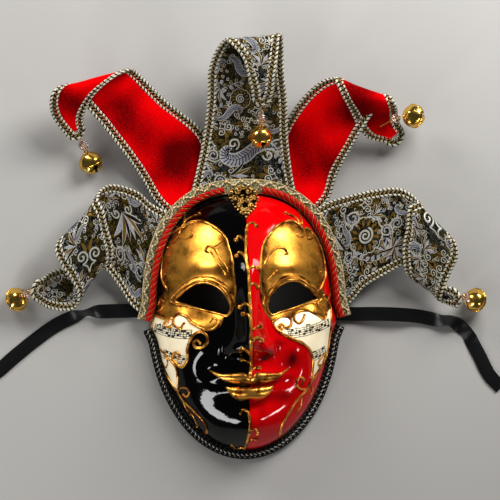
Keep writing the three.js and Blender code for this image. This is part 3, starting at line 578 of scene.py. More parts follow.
def makeLacquer():
    # Papier-mache under gloss nitro lacquer: wet-looking black and red with a faint orange peel, and painted
    # shade in the red hollows beside the nose and under the lips. The gilt patches are gold leaf rubbed with
    # brown wax, with painted shade darkening them along their borders, and the paper is varnished and
    # yellowed.
    made, tree = newMaterial("glossLacquerOnPapierMache")
    place = addNode(tree, "ShaderNodeTexCoord").outputs["Object"]
    masks = {}
    for name in ("goldDepth", "paperDepth", "redSide"):
        depth = addNode(tree, "ShaderNodeAttribute", attribute_name=name, attribute_type="GEOMETRY")
        masks[name] = addNode(tree, "ShaderNodeMapRange",
            {"Value": depth.outputs["Fac"], "From Min": -0.15, "From Max": 0.15})
    goldDepth = addNode(tree, "ShaderNodeAttribute", attribute_name="goldDepth", attribute_type="GEOMETRY")
    wax = addNode(tree, "ShaderNodeTexNoise",
        {"Vector": place, "Scale": 75.0, "Detail": 6.0, "Roughness": 0.7})
    # Painted shade darkens the gilt within about 7 mm of a patch's border, beside the raised piping.
    border = addNode(tree, "ShaderNodeMapRange",
        {"Value": goldDepth.outputs["Fac"], "From Min": 0.0, "From Max": 7.0, "To Min": -0.16,
        "To Max": 0.06})
    waxPlusBorderShade = addNode(tree, "ShaderNodeMath", {0: wax.outputs[0], 1: border.outputs[0]}, operation="ADD")
    toneAndShadeShare = addNode(tree, "ShaderNodeMapRange",
        {"Value": waxPlusBorderShade.outputs[0], "From Min": 0.32, "From Max": 0.62})
    gold = addMix(tree, toneAndShadeShare.outputs[0], toLinear("#683809"), toLinear("#fdba52"))
    # Painted shade: the red turns near black where the shade layer is high, in the hollows beside the nose
    # and under the lips.
    shade = addNode(tree, "ShaderNodeAttribute", attribute_name="shade", attribute_type="GEOMETRY")
    red = addNode(tree, "ShaderNodeMix", {
        0: shade.outputs["Fac"],
        6: toLinear("#b80005"),
        7: toLinear("#1c0001"),
    }, data_type="RGBA")
    lacquer = addNode(tree, "ShaderNodeMix", {
        0: masks["redSide"].outputs[0],
        6: toLinear("#030203"),
        7: red.outputs[2],
    }, data_type="RGBA")
    stain = addNode(tree, "ShaderNodeTexNoise", {"Vector": place, "Scale": 60.0, "Detail": 4.0})
    paper = addMix(tree, stain.outputs[0], toLinear("#d9c9a0"), toLinear("#f4ecd8"))
    withGold = addMix(tree, masks["goldDepth"].outputs[0], lacquer.outputs[2], gold.outputs[2])
    colour = addMix(tree, masks["paperDepth"].outputs[0], withGold.outputs[2], paper.outputs[2])
    notPaper = addNode(tree, "ShaderNodeMath", {0: 1.0, 1: masks["paperDepth"].outputs[0]},
        operation="SUBTRACT")
    metal = addNode(tree, "ShaderNodeMath", {0: masks["goldDepth"].outputs[0], 1: notPaper.outputs[0]},
        operation="MULTIPLY")
    metallic = addNode(tree, "ShaderNodeMath", {0: metal.outputs[0], 1: 0.88}, operation="MULTIPLY")
    rough = addNode(tree, "ShaderNodeMapRange", {"Value": metal.outputs[0], "To Min": 0.07, "To Max": 0.33})
    roughness = addNode(tree, "ShaderNodeMapRange",
        {"Value": masks["paperDepth"].outputs[0], "To Min": 0.0, "To Max": 0.22})
    roughAll = addNode(tree, "ShaderNodeMath", {0: rough.outputs[0], 1: roughness.outputs[0]},
        operation="ADD")
    # Brush marks and orange peel, 2 to 4 mm wide.
    peel = addNode(tree, "ShaderNodeTexNoise", {"Vector": place, "Scale": 260.0, "Detail": 3.0})
    bump = addNode(tree, "ShaderNodeBump", {"Height": peel.outputs[0], "Distance": 0.0004, "Strength": 0.16})
    shader = addNode(tree, "ShaderNodeBsdfPrincipled", {
        "Base Color": colour.outputs[2],
        "Metallic": metallic.outputs[0],
        "Roughness": roughAll.outputs[0],
        "Normal": bump.outputs[0],
        "Specular IOR Level": 0.34,
    })
    finishMaterial(tree, shader)
    return made


def makeFace(lacquer, lining):
    count = faceForm["grid"] + 1
    share = np.linspace(-1, 1, count)
    v, u = np.meshgrid(share, share, indexing="ij")
    x = u * np.sqrt(1 - v * v / 2)
    y = v * np.sqrt(1 - u * u / 2)
    angle = np.arctan2(y, x)
    radius = np.sin(np.minimum(np.hypot(x, y), 1) * math.pi / 2)
    planX = np.cos(angle) * rimRadius(angle) * radius
    planY = np.sin(angle) * rimRadius(angle) * radius
    outer = np.stack([planX, planY, faceHeightAt(planX, planY, radius)], -1)
    flat = outer.reshape(-1, 3)
    hidden = np.zeros(count * count, bool)
    for side in (-1, 1):
        outline = eyeLine(side, 0.4)
        depth = depthInside(outline, flat[:, :2])
        inside = depth > 0
        hidden |= inside
        # Points just inside the hole move out to its edge, so that the edge is smooth.
        for k in np.where(inside & (depth < 4))[0]:
            nearest = outline[np.argmin(np.linalg.norm(outline - flat[k, :2], axis=1))]
            flat[k, :2] = nearest
            flat[k, 2] = faceHeight(nearest[:1], nearest[1:])[0]
    outer = flat.reshape(count, count, 3)
    normal = faceNormal(outer[..., 0], outer[..., 1])
    inner = outer - normal * faceForm["wall"]
    border = np.zeros((count, count), bool)
    border[[0, -1], :] = True
    border[:, [0, -1]] = True
    inner[border] = outer[border] * (1 - faceForm["wall"] / np.linalg.norm(outer[border], axis=1,
        keepdims=True))
    inner[border, 2] = 0
    inner[..., 2] = np.maximum(inner[..., 2], 0)
    cell = hidden.reshape(count, count)
    keep = ~(cell[:-1, :-1] & cell[1:, :-1] & cell[:-1, 1:] & cell[1:, 1:])
    shape = newShape()
    addNet(shape, outer, 0, keep=keep)
    # The back needs only every other point.
    cell = cell[::2, ::2]
    keep = ~(cell[:-1, :-1] & cell[1:, :-1] & cell[:-1, 1:] & cell[1:, 1:])
    addNet(shape, inner[::2, ::2], 1, keep=keep)
    ring = [(0, k) for k in range(count - 1)] + [(k, count - 1) for k in range(count - 1)]
    ring += [(count - 1, k) for k in range(count - 1, 0, -1)] + [(k, 0) for k in range(count - 1, 0, -1)]
    rows, columns = np.array(ring).T
    addNet(shape, np.stack([outer[rows, columns], inner[rows, columns]], 0), 0, closedAcross=True)
    for side in (-1, 1):
        plan = spaced(eyeLine(side, 0.2), 1.0, closed=True)
        addNet(shape, np.stack([onFace(plan, 0.1), onFace(plan, -faceForm["wall"] - 0.1)], 0), 1,
            closedAcross=True)
    piece = makePiece("papier_mache_face", shape, [lacquer, lining], ["face_shell"], tidy=False)
    points = np.concatenate(shape["points"])
    plan = points[:, :2]
    setLayer(piece, "goldDepth", zoneDepth(zones["gold"], plan))
    setLayer(piece, "paperDepth", zoneDepth(zones["paper"], plan))
    setLayer(piece, "redSide", np.clip(plan[:, 0], -12, 12))
    # Painted shade: a layer of soft spots that darkens the red lacquer in the hollows beside the nose and
    # under the lips.
    shade = np.zeros(len(plan))
    for sketchX, sketchY, across, along, strength in paintedHollowShade:
        offset = (plan - fromSketch([(sketchX, sketchY)])[0, :2]) / [across, along]
        shade += strength * np.exp(-np.sum(offset ** 2, axis=1))
    setLayer(piece, "shade", np.clip(shade, 0, 1))


def makeLining():
    # The back of the papier-mache: grey paper pulp under thin black paint, dull and a little fibrous.
    made, tree = newMaterial("paintedPaperPulp")
    place = addNode(tree, "ShaderNodeTexCoord").outputs["Object"]
    pulp = addNode(tree, "ShaderNodeTexNoise", {"Vector": place, "Scale": 400.0, "Detail": 6.0})
    colour = addMix(tree, pulp.outputs[0], toLinear("#0c0b0a"), toLinear("#2a2622"))
    bump = addNode(tree, "ShaderNodeBump", {"Height": pulp.outputs[0], "Distance": 0.0008, "Strength": 0.5})
    shader = addNode(tree, "ShaderNodeBsdfPrincipled", {
        "Base Color": colour.outputs[2],
        "Roughness": 0.75,
        "Normal": bump.outputs[0],
    })
    finishMaterial(tree, shader)
    return made


makeFace(makeLacquer(), makeLining())
print("face made")

# Raised gilt lines. Each is a width in millimetres and its points on the sketch.
pipedLines = {
    "eye_left": [
        (2.5, [
            (168, 290), (162.5, 279), (163, 260), (165, 246), (171, 235), (179, 229), (184, 227),
                (191, 222.5), (198, 221),
            (207, 223), (217, 229), (225, 237), (229, 249), (232, 260), (233.5, 273), (235.5, 286),
                (235, 300),
            (232, 311), (226, 317),
        ]),
        (2.0, [(184, 227), (184.5, 220), (186, 211)]),
        (2.2, [(181, 229), (186, 221), (192, 217), (199, 214.5)]),
        (1.9, [(180, 230), (175, 226), (171.5, 229), (174, 233)]),
        (1.9, [(181, 229), (179.5, 236), (184.5, 239), (191, 237), (193, 232.5), (190.5, 230)]),
        (1.8, [(177, 231), (178, 238), (174, 243.5), (171.5, 241)]),
        (2.1, [(209, 253), (205.5, 250.5), (207.5, 246.5), (213.5, 247.5), (219.5, 257), (229, 272)]),
        (1.7, [(210, 250.5), (214.5, 258), (220, 267), (227, 276)]),
        (1.4, [(214, 247), (222, 241)]),
        (1.9, [(157, 290), (155, 299), (158, 305), (161, 299), (164, 302), (161, 309), (156.5, 312)]),
    ],
    "eye_right": [
        (2.5, [
            (262, 303), (260, 286), (260.4, 266), (261.7, 254), (264, 243), (269, 235), (276, 227),
                (285, 222), (293, 221),
            (300, 226), (304, 229.5), (307, 228), (313, 233), (319, 243), (323, 254), (325, 266),
                (325.5, 276),
            (322, 286), (316, 297),
        ]),
        (2.0, [(302.5, 225), (301, 216), (297.5, 209)]),
        (2.2, [(301, 226), (297, 219), (291.5, 215.5), (286, 213.5)]),
        (1.9, [(302, 227), (304.5, 232), (302, 237), (297.5, 235), (298, 231)]),
        (1.9, [(306, 227.5), (311, 231), (312.5, 238), (308.5, 239), (308, 234.5)]),
        (2.1, [(264, 267), (268.7, 255), (277, 248), (283.5, 248), (287, 252.5), (284, 255.5)]),
        (1.8, [(264, 283), (270, 278), (276, 271.5)]),
        (1.9, [(329, 285), (331, 293), (327, 300), (323.5, 297), (326, 293)]),
    ],
    "cheek_left": [
        (2.4, [(152.5, 314), (158, 316), (166, 319), (172, 318), (173, 324), (168, 327), (164.5, 323),
            (168, 321)]),
        (2.6, [(183, 324), (180.5, 328), (174.5, 325), (174, 318), (179, 314), (186, 316.5), (191, 322),
            (197, 326),
               (206, 329.5), (213, 329), (218, 324.5), (217, 319.5), (212, 318.5), (210, 322.5)]),
        (2.8, [(200, 343), (197.5, 340), (194, 342), (196, 347), (203, 346.5), (207.5, 341), (206, 334.5),
            (200, 331.5),
               (194, 334.5), (189.5, 342), (187.5, 350), (187.5, 360), (182, 366.5), (176, 362),
                   (172.5, 356.5),
               (176, 352), (180, 355), (178, 359)]),
        (2.2, [(152.5, 316), (153, 330), (156, 344), (161, 361), (169, 378), (177, 390)]),
        (2.2, [(158, 347), (164, 352), (170, 359), (175.5, 366), (178, 376), (178, 389)]),
        (1.6, [(165, 355), (168, 362), (166, 367), (163.5, 362)]),
    ],
    "cheek_right": [
        (2.5, [(281.5, 329), (279, 326), (283, 324.5), (285.5, 328), (291, 325.5), (290.5, 318.5),
            (285, 316.5),
               (278, 318), (273, 323), (279, 331), (291, 338), (304, 344), (310, 350), (313, 360),
                   (312, 378)]),
        (2.6, [(304, 316), (303, 320), (299, 323.5), (294.5, 320), (295, 314.5), (301, 311.5), (309, 311),
            (317, 315),
               (325.5, 320)]),
        (2.0, [(325.5, 320), (327, 312), (323, 305), (318.5, 303), (319.5, 308), (324, 311)]),
        (2.2, [(325, 297), (330.5, 307), (331.5, 324), (329.5, 341), (327, 355), (320, 369), (312, 382)]),
        (1.9, [(327, 352), (322, 357), (318.5, 364), (321, 365.5), (324, 360), (326, 353)]),
    ],
    "jaw_left": [
        (2.6, [(177, 388), (184, 400), (194, 410), (202.5, 419), (207, 428), (206.5, 433), (203.5, 430.5)]),
        (2.1, [(178, 392), (181, 387.5), (187, 388), (189.5, 392.5), (186.5, 396), (183, 393.5)]),
        (1.7, [(183, 400), (186, 407), (190, 413)]),
        (1.7, [(190, 411), (195, 418), (197, 425)]),
    ],
    "jaw_right": [
        (2.6, [(314, 376), (307, 389), (297, 400), (288, 414), (281.5, 427), (279.5, 436)]),
        (2.1, [(306, 390), (299, 388), (296.5, 382), (300, 377), (304, 379.5), (302, 383.5)]),
        (1.7, [(311, 385), (313, 391), (309, 397)]),
        (1.6, [(302, 398), (301, 406), (296, 413)]),
    ],
    "center": [
        (3.0, [(246.5, 226), (246, 241), (246, 258), (248.4, 272), (249.6, 295), (250.8, 313), (251, 330),
            (251, 346),
               (251, 365), (249.5, 380)]),
        (2.5, [(246.5, 228), (249, 223.5), (254, 223.5), (255.5, 227)]),
        (2.5, [(246, 246), (243, 239), (238.5, 236.5), (236, 240)]),
        (2.5, [(246, 262), (243.5, 255), (239, 252.5), (236.5, 256)]),
        (2.5, [(248.5, 273), (249.5, 268.5), (253.5, 266.5), (256.5, 269)]),
        (2.5, [(249, 291), (250, 285), (254, 283.5), (257, 287)]),
        (2.5, [(250.5, 313), (249, 305.5), (244.5, 303.5), (240.5, 307)]),
        (2.5, [(251, 321), (248.5, 314.5), (244.5, 314)]),
        (2.8, [(251, 333), (254, 328.5), (258, 327)]),
        (2.8, [(251, 346), (253, 339.5), (257.5, 337.5), (260.5, 340)]),
        (2.8, [(250.5, 356), (247.5, 350.5), (242.5, 347.5), (240.5, 350)]),
        (2.5, [(250.5, 365), (247, 360.5), (242.5, 359)]),
        (2.8, [(250.5, 373), (254, 368.5), (258, 368)]),
    ],
    "chin": [
        (2.4, [(240.5, 413), (242.5, 410), (247, 411), (249.5, 418), (249.5, 430), (247, 441), (244.5, 449)]),
        (2.0, [(249.5, 435), (251.5, 430), (256, 429), (257.5, 433)]),
        (2.0, [(249, 442), (252.5, 438.5), (255.5, 439)]),
        (2.0, [(232, 444.5), (236, 448), (242, 447), (246, 450)]),
    ],
}
# Gilt dots: place on the sketch and width in millimetres.
pipedDots = {
    "eye_left": [(186, 210.5, 3), (199.5, 214, 3.4), (168, 247, 2), (168.5, 256, 2), (165.6, 274, 2.2),
        (157, 289, 2.6)],
    "eye_right": [(297.3, 208.5, 3), (285.5, 213.2, 3.4), (318, 254, 2), (321, 272, 2.2), (276.5, 271, 3),
        (287.5, 253.5, 3)],
    "cheek_left": [(200, 343, 3), (184, 323, 2.8), (168.5, 321.5, 2.6)],
    "cheek_right": [(304.5, 315.5, 3), (281.8, 329, 2.8)],
    "jaw_left": [(184, 394, 2.6), (190.5, 414, 2.2), (197.3, 426, 2.2)],
    "jaw_right": [(302, 384, 2.6), (280, 436, 2.4)],
    "center": [
        (256, 226, 4.6), (236, 240, 4.8), (236.5, 256, 4.8), (257, 268, 4.8), (257, 287, 4.8),
            (240.5, 307, 4.8),
        (243.5, 314, 4.8), (259, 327, 5.2), (261, 340, 4.8), (240.5, 350, 4.8), (242, 358.8, 4.8),
            (259, 368, 5.2),
    ],
    "chin": [(240.5, 413.5, 3), (257.5, 433, 3.4), (256, 439, 3.6), (232, 444.5, 2.6)],
}


def addPiping(shape, width, drawn, seed):
    plan = spaced(fromSketch(smoothLine(drawn, 8)), 0.8)
    count = len(plan)
    ends = np.minimum(np.arange(count), np.arange(count)[::-1]) * 0.8
    # The paste is squeezed from a cone by hand: it swells and thins a little, and thins out at its ends.
    uneven = 1 + 0.09 * np.sin(np.arange(count) * 0.43 + seed) + 0.06 * np.sin(np.arange(count) * 0.17 + 2
        * seed)
    radius = width / 2 * uneven * np.clip(0.45 + ends / (2.2 * width), 0.45, 1)
    addWire(shape, onFace(plan, radius * 0.35), radius, up=faceNormal(plan[:, 0], plan[:, 1]), flat=0.85,
        sides=8)


def addDot(shape, drawnX, drawnY, width):
    plan = fromSketch([(drawnX, drawnY)])
    up = faceNormal(plan[:, 0], plan[:, 1])[0]
    foot = onFace(plan, -0.2 * width)[0]
    rise = np.linspace(0, 1, 7)
    line = foot + up * (rise * width * 0.85)[:, None]
    radius = width / 2 * np.sqrt(np.maximum(1 - rise ** 2, 0.004))
    addWire(shape, line, radius, up=np.tile(unit(np.cross(up, [0.3, 1.0, 0.2])), (7, 1)), sides=12)


def makePiping(goldLeaf):
    nodes = {
        "eye_left": "relief_eye_left",
        "eye_right": "relief_eye_right",
        "cheek_left": "relief_cheek_left",
        "cheek_right": "relief_cheek_right",
        "jaw_left": "relief_jaw_left",
        "jaw_right": "relief_jaw_right",
        "center": "relief_center_line",
        "chin": "relief_chin_line",
    }
    for group, node in nodes.items():
        shape = newShape()
        for k, (width, drawn) in enumerate(pipedLines[group]):
            addPiping(shape, width, drawn, k)
        for drawnX, drawnY, width in pipedDots[group]:
            addDot(shape, drawnX, drawnY, width)
        # Paste that reaches the rim stays above the table.
        shape["points"] = [np.maximum(net, [-np.inf, -np.inf, 0.1]) for net in shape["points"]]
        makePiece("gilt_paste_" + group, shape, [goldLeaf], [node])


def makeEyeRims(goldLeaf):
    for name, side in (("left", -1), ("right", 1)):
        shape = newShape()
        plan = spaced(eyeLine(side, eyes["rimWidth"] / 2 - 0.3), 0.9, closed=True)
        # The rim is thick over the arch and thin along the lower lid.
        thick = np.interp(plan[:, 1] - eyes["up"], [-8, 4], [0.55, 1.0])
        radius = eyes["rimWidth"] / 2 * thick
        up = faceNormal(plan[:, 0], plan[:, 1])
        addWire(shape, onFace(plan, 0.3), radius, up=up, flat=eyes["rimRise"] / eyes["rimWidth"] * 1.6,
            sides=10, closed=True)
        arch = spaced(eyeLine(side, eyes["rimWidth"] + 1.6), 0.9, closed=True)
        arch = arch[arch[:, 1] > eyes["up"] - 6]
        start = np.argmax(np.linalg.norm(np.diff(np.concatenate([arch[-1:], arch]), axis=0), axis=1))
        arch = np.roll(arch, -start, axis=0)
        addWire(shape, onFace(arch, 0.1), 1.1, up=faceNormal(arch[:, 0], arch[:, 1]), flat=0.9, sides=8)
        makePiece("gilt_eye_rim_" + name, shape, [goldLeaf], ["eye_rim_" + name])


# Lips: across, upper edge, lower edge, in shares of half width and of the reach to the chin.
lips = {
    "upper": [
        (-0.42, -0.397, -0.41), (-0.3, -0.43, -0.468), (-0.15, -0.424, -0.512), (-0.06, -0.422, -0.528),
            (0, -0.458, -0.522),
        (0.06, -0.422, -0.528), (0.15, -0.424, -0.512), (0.3, -0.43, -0.468), (0.42, -0.397, -0.41),
    ],
    "lower": [
        (-0.25, -0.524, -0.54), (-0.18, -0.53, -0.605), (-0.09, -0.532, -0.642), (0, -0.54, -0.622),
            (0.09, -0.532, -0.642),
        (0.18, -0.53, -0.605), (0.25, -0.524, -0.54),
    ],
    "rise": {"upper": 3.0, "lower": 4.2},
}


def makeLips(goldLeaf):
    for name in ("upper", "lower"):
        edges = smoothLine(lips[name], 10)
        across = np.linspace(0, 1, 13)
        top = edges[:, 1:2] * chinReach
        bottom = edges[:, 2:3] * chinReach
        planY = top + (bottom - top) * across[None, :]
        planX = np.broadcast_to(edges[:, 0:1] * halfWidth, planY.shape)
        plan = np.stack([planX.reshape(-1), planY.reshape(-1)], -1)
        full = np.sin(np.linspace(0, math.pi, len(edges))) ** 0.4
        swell = np.sin(across * math.pi) ** 0.6
        rise = (full[:, None] * swell[None, :] * lips["rise"][name] - 0.15).reshape(-1)
        shape = newShape()
        addNet(shape, onFace(plan, rise).reshape(len(edges), 13, 3))
        makePiece("gilt_lip_" + name, shape, [goldLeaf], ["lip_" + name])


# Printed staves on the paper: the two ends of the middle line on the sketch, how far it bows, and its
# notes.
music = {
    "lineWidth": 0.42,
    "lineSpacing": 1.9,
    "staves": [
        ((154.5, 327), (192, 334), 2.0, 13),
        ((163, 352.5), (186, 360), 1.0, 5),
        ((288, 334), (330, 322), 2.0, 13),
        ((309, 359), (326, 350), 0.5, 4),
    ],
}


def addInk(shape, plan, width):
    along = directions(np.concatenate([plan, np.zeros((len(plan), 1))], -1))[:, :2]
    across = np.stack([along[:, 1], -along[:, 0]], -1)
    net = [onFace(plan + across * width / 2 * side, 0.12) for side in (-1, 1)]
    addNet(shape, np.stack(net, 1))


def makeMusic():
    # Printer's black ink, sunk into the paper and dull, aged to a warm black.
    made, tree = newMaterial("printersInk")
    place = addNode(tree, "ShaderNodeTexCoord").outputs["Object"]
    wear = addNode(tree, "ShaderNodeTexNoise", {"Vector": place, "Scale": 900.0})
    colour = addMix(tree, wear.outputs[0], toLinear("#0f0d0b"), toLinear("#2c261f"))
    shader = addNode(tree, "ShaderNodeBsdfPrincipled", {"Base Color": colour.outputs[2], "Roughness": 0.6})
    finishMaterial(tree, shader)
    rng = random.Random(4)
    papers = [fromSketch(smoothLine(outline, 5, closed=True)) for outline in zones["paper"]]
    shape = newShape()

    def addInside(plan, width):
        depth = np.max([depthInside(paper, plan) for paper in papers], axis=0)
        run = depth > 0.9
        start = 0
        for k in range(len(plan) + 1):
            if k == len(plan) or not run[k]:
                if k - start > 3:
                    addInk(shape, plan[start:k], width)
                start = k + 1

    for start, end, bow, notes in music["staves"]:
        first, last = fromSketch([start, end])
        share = np.linspace(0, 1, 60)[:, None]
        along = unit(last - first)
        aside = np.array([-along[1], along[0]])
        middle = first + (last - first) * share + aside * np.sin(share * math.pi) * -bow
        for row in range(-2, 3):
            addInside(middle + aside * row * music["lineSpacing"], music["lineWidth"])
        length = np.linalg.norm(last - first)
        before = None
        for k in range(notes):
            place = (k + 0.5 + rng.uniform(-0.2, 0.2)) / notes
            row = rng.randint(-3, 3)
            foot = first + (last - first) * place + aside * (row * music["lineSpacing"] / 2 - bow
                * math.sin(place * math.pi))
            head = foot + along * np.linspace(-1.2, 1.2, 7)[:, None]
            addInside(head, 1.8)
            hand = 1 if row < 1 else -1
            stemTop = foot + aside * hand * 5.2
            stem = foot + along * 0.9 * hand + (stemTop - foot) * np.linspace(0, 1, 8)[:, None]
            addInside(stem, 0.45)
            if before is not None and rng.random() < 0.5 and before[1] == hand:
                addInside(before[0] + (stem[-1] - before[0]) * np.linspace(0, 1, 9)[:, None], 1.0)
            before = (stem[-1], hand)
        for place in (0.02, 0.5, 0.98):
            bar = first + (last - first) * place - aside * bow * math.sin(place * math.pi)
            addInside(bar + aside * np.linspace(-2, 2, 8)[:, None] * music["lineSpacing"], 0.4)
    makePiece("printed_music", shape, [made])


goldLeaf = goldLeafMaterial("goldLeafOnPaste")
makePiping(goldLeaf)
makeEyeRims(goldLeaf)
makeLips(goldLeaf)
makeMusic()
print("relief, lips and print made")

# Trims along the rim.
trims = {
    "ropeOutset": 3.6,
    "ropeHeight": 17.5,
    "ropeDiameter": 6.6,
    "ropePitch": 17.5,
    "ropeAngles": (81, -3),
    "gimpOutset": 6.7,
    "gimpHeight": 12.3,
    "gimpWidth": 13,
    "waveOutset": 2.7,
    "gimpAngles": (-3, 183),
    "chinOutset": 4.8,
    "chinHeight": 4.3,
    "chinWidth": 8.4,
    "chinAngles": (-8, -172),
}


# A line beside the rim with the directions that point away from the face there.
def besideRim(angles, outset, height, step=0.8):
    turn = np.radians(np.linspace(angles[0], angles[1], 400))
    place = np.stack([np.cos(turn), np.sin(turn)], -1) * rimRadius(turn)[:, None]
    along = directions(place)
    # Angles that fall go round clockwise, and outward lies on the other side of the line then.
    hand = 1 if angles[1] > angles[0] else -1
    outward = np.stack([along[:, 1], -along[:, 0]], -1) * hand
    line = spaced(np.concatenate([place + outward * outset, np.full((400, 1), height)], 1), step)
    along = directions(line)
    outward = np.stack([along[:, 1], -along[:, 0], np.zeros(len(line))], -1) * hand
    return line, unit(outward)


def upright(line):
    return np.tile([0.0, 0.0, 1.0], (len(line), 1))


def makeRope(redSatin, goldThread):
    for name in ("left", "right"):
        start, end = trims["ropeAngles"]
        angles = (start, end) if name == "right" else (180 - start, 180 - end)
        line, outward = besideRim(angles, trims["ropeOutset"], trims["ropeHeight"], 0.7)
        shape = newShape()
        half = trims["ropeDiameter"] / 2
        hand = 1 if name == "right" else -1
        addTwist(shape, line, outward, upright(line), half, half, trims["ropePitch"], [0, 0, 0], hand, 12,
            strand=0.475)
        addTwist(shape, line, outward, upright(line), half, half, trims["ropePitch"], [1, 1, 1], hand, 6,
            strand=0.09,
                 phase=1 / 6)
        makePiece("satin_rope_" + name, shape, [redSatin, goldThread], ["rope_" + name])


def makeGimp(crinkle, goldThread, silverThread):
    line, outward = besideRim(trims["gimpAngles"], trims["gimpOutset"], trims["gimpHeight"], 0.7)
    arc = arcOf(line)
    shape = newShape()
    steps = np.linspace(-1, 1, 13)
    half = trims["gimpWidth"] / 2
    # Crinkles 2.4 mm apart run across the tape and lean a little.
    crinkles = np.sin(2 * math.pi * (arc[:, None] / 2.4 + steps[None,
        :] * 0.35)) * 0.55 * (1 - steps ** 4)[None, :]
    for side in (1, -1):
        rise = side * 0.55 + crinkles + (1 - steps ** 2)[None, :] * 0.5
        net = line[:, None] + outward[:, None] * (steps * half)[None, :, None]
        net = net + np.stack([rise * 0, rise * 0, rise], -1)
        addNet(shape, net, 0)
    wave = trims["waveOutset"] + 1.9 * np.sin(2 * math.pi * arc / 13)
    top = line + outward * wave[:, None] + [0, 0, 1.5]
    addTwist(shape, top, outward, upright(line), 1.35, 1.1, 3.4, [1, 2], strand=0.55)
    for side in (-1, 1):
        edge = line + outward * (side * (half - 0.4)) + [0, 0, 0.5]
        addTwist(shape, edge, outward, upright(line), 0.8, 0.8, 2.6, [1, 2], side, 5, strand=0.55)
    makePiece("gathered_gimp", shape, [crinkle, goldThread, silverThread], ["rim_gimp"])


def makeChinBraid(blackCord, silverThread):
    line, outward = besideRim(trims["chinAngles"], trims["chinOutset"], trims["chinHeight"], 0.9)
    shape = newShape()
    half = trims["chinWidth"] / 2
    for side in (-1, 1):
        addTwist(shape, line, outward, upright(line), half * 0.58, 3.0, 9.0, [0, 0, 0, 0], side, 7,
                 offset=side * half * 0.42, strand=0.5)
        addTwist(shape, line, outward, upright(line), half * 0.6, 3.1, 4.5, [1], side, 5,
                 offset=side * half * 0.42, strand=0.13)
    top = line + [0, 0, 2.2]
    addTwist(shape, top, outward, upright(line), 1.1, 1.1, 4.0, [1, 0], 1, 6, strand=0.55)
    makePiece("chin_braid_cords", shape, [blackCord, silverThread], ["chin_braid"])


# Crest: a pierced gilt cluster of curls, petals and grains that comes to a point on the forehead.
crest = {
    "top": 116,
    "size": 27,
    "height": 15.2,
    # Curls on the right half: middle across and down, in shares of half the size, radius in mm and
    # first angle.
    "curls": [
        (0.34, 0.3, 3.9, 200), (0.62, 0.78, 3.5, 130), (0.2, 0.92, 2.7, 20), (0.4, 1.28, 3.2, 60),
            (0.8, 0.36, 2.4, 260),
        (0.16, 1.6, 2.3, 150),
    ],
    "edge": [(0.0, 0.0), (0.35, 0.02), (0.72, 0.2), (0.95, 0.62), (0.82, 1.1), (0.55, 1.5), (0.22, 1.85),
        (0, 2.05)],
    "plateRows": [0, 0.3, 0.8, 1.2, 1.6, 2],
    "plateWide": [0.45, 0.82, 0.9, 0.7, 0.4, 0.05],
    "seeds": 46,
    "seed": 5,
}


def onCrest(across, down, lift=0.0):
    half = crest["size"] / 2
    x = np.atleast_1d(np.asarray(across, float)) * half
    y = crest["top"] - np.atleast_1d(np.asarray(down, float)) * half
    x, y = np.broadcast_arrays(x, y)
    height = np.where(rimShare(x, y) < 1, faceHeight(x, y) + 1.6, 0)
    return np.stack([x, y, np.maximum(height, crest["height"]) + lift], -1)


def addGrain(shape, place, radius, flat=0.8):
    rise = np.linspace(0, 1, 6)
    line = place + np.array([0, 0, 1]) * (rise * radius * 2 * flat - radius * 0.7)[:, None]
    width = radius * np.sqrt(np.maximum(1 - (rise * 1.5 - 0.5) ** 2, 0.004))
    addWire(shape, line, width, up=np.tile([1.0, 0.0, 0.0], (6, 1)), sides=10)


def makeCrest(finishes):
    shape = newShape()
    rng = random.Random(crest["seed"])
    half = crest["size"] / 2
    for side in (-1, 1):
        for across, down, radius, first in crest["curls"]:
            turn = np.linspace(0, 2.4 * math.pi, 50)
            reach = radius * np.linspace(1, 0.2, 50) / half
            angle = math.radians(first) + turn
            line = onCrest(side * (across + reach * np.cos(angle)), down + reach * np.sin(angle), 1.0)
            addWire(shape, line, np.linspace(0.6, 0.95, 50), sides=8)
            addGrain(shape, onCrest(side * across, down, 1.4)[0], 1.1)
        edge = np.array(crest["edge"])
        rim = spaced(smoothLine(edge, 10), 3.1 / half)
        for x, down in rim:
            spread = rng.uniform(0.94, 1.04)
            place = onCrest(side * x * spread, 1 + (down - 1) * spread, rng.uniform(-0.1, 0.7))[0]
            addGrain(shape, place, rng.uniform(0.9, 1.6))
    # Seeds of cast metal are strewn between the curls.
    for _ in range(crest["seeds"]):
        down = rng.uniform(0.1, 1.85)
        reach = np.interp(down, crest["plateRows"], crest["plateWide"]) * 0.9
        place = onCrest(rng.uniform(-reach, reach), down, rng.uniform(0.2, 1.8))[0]
        addGrain(shape, place, rng.uniform(0.6, 1.25), 0.9)
    # A thin pierced plate, dark with patina, holds the curls together.
    rows = np.linspace(0.05, 1.95, 30)
    wide = np.interp(rows, crest["plateRows"], crest["plateWide"])
    share = np.linspace(-1, 1, 25)
    place = onCrest((wide[:, None] * share[None, :]).reshape(-1), np.repeat(rows, 25), -0.7)
    addNet(shape, place.reshape(30, 25, 3), 1)
    makePiece("gilt_crest", shape, finishes, ["crest_ornament"])


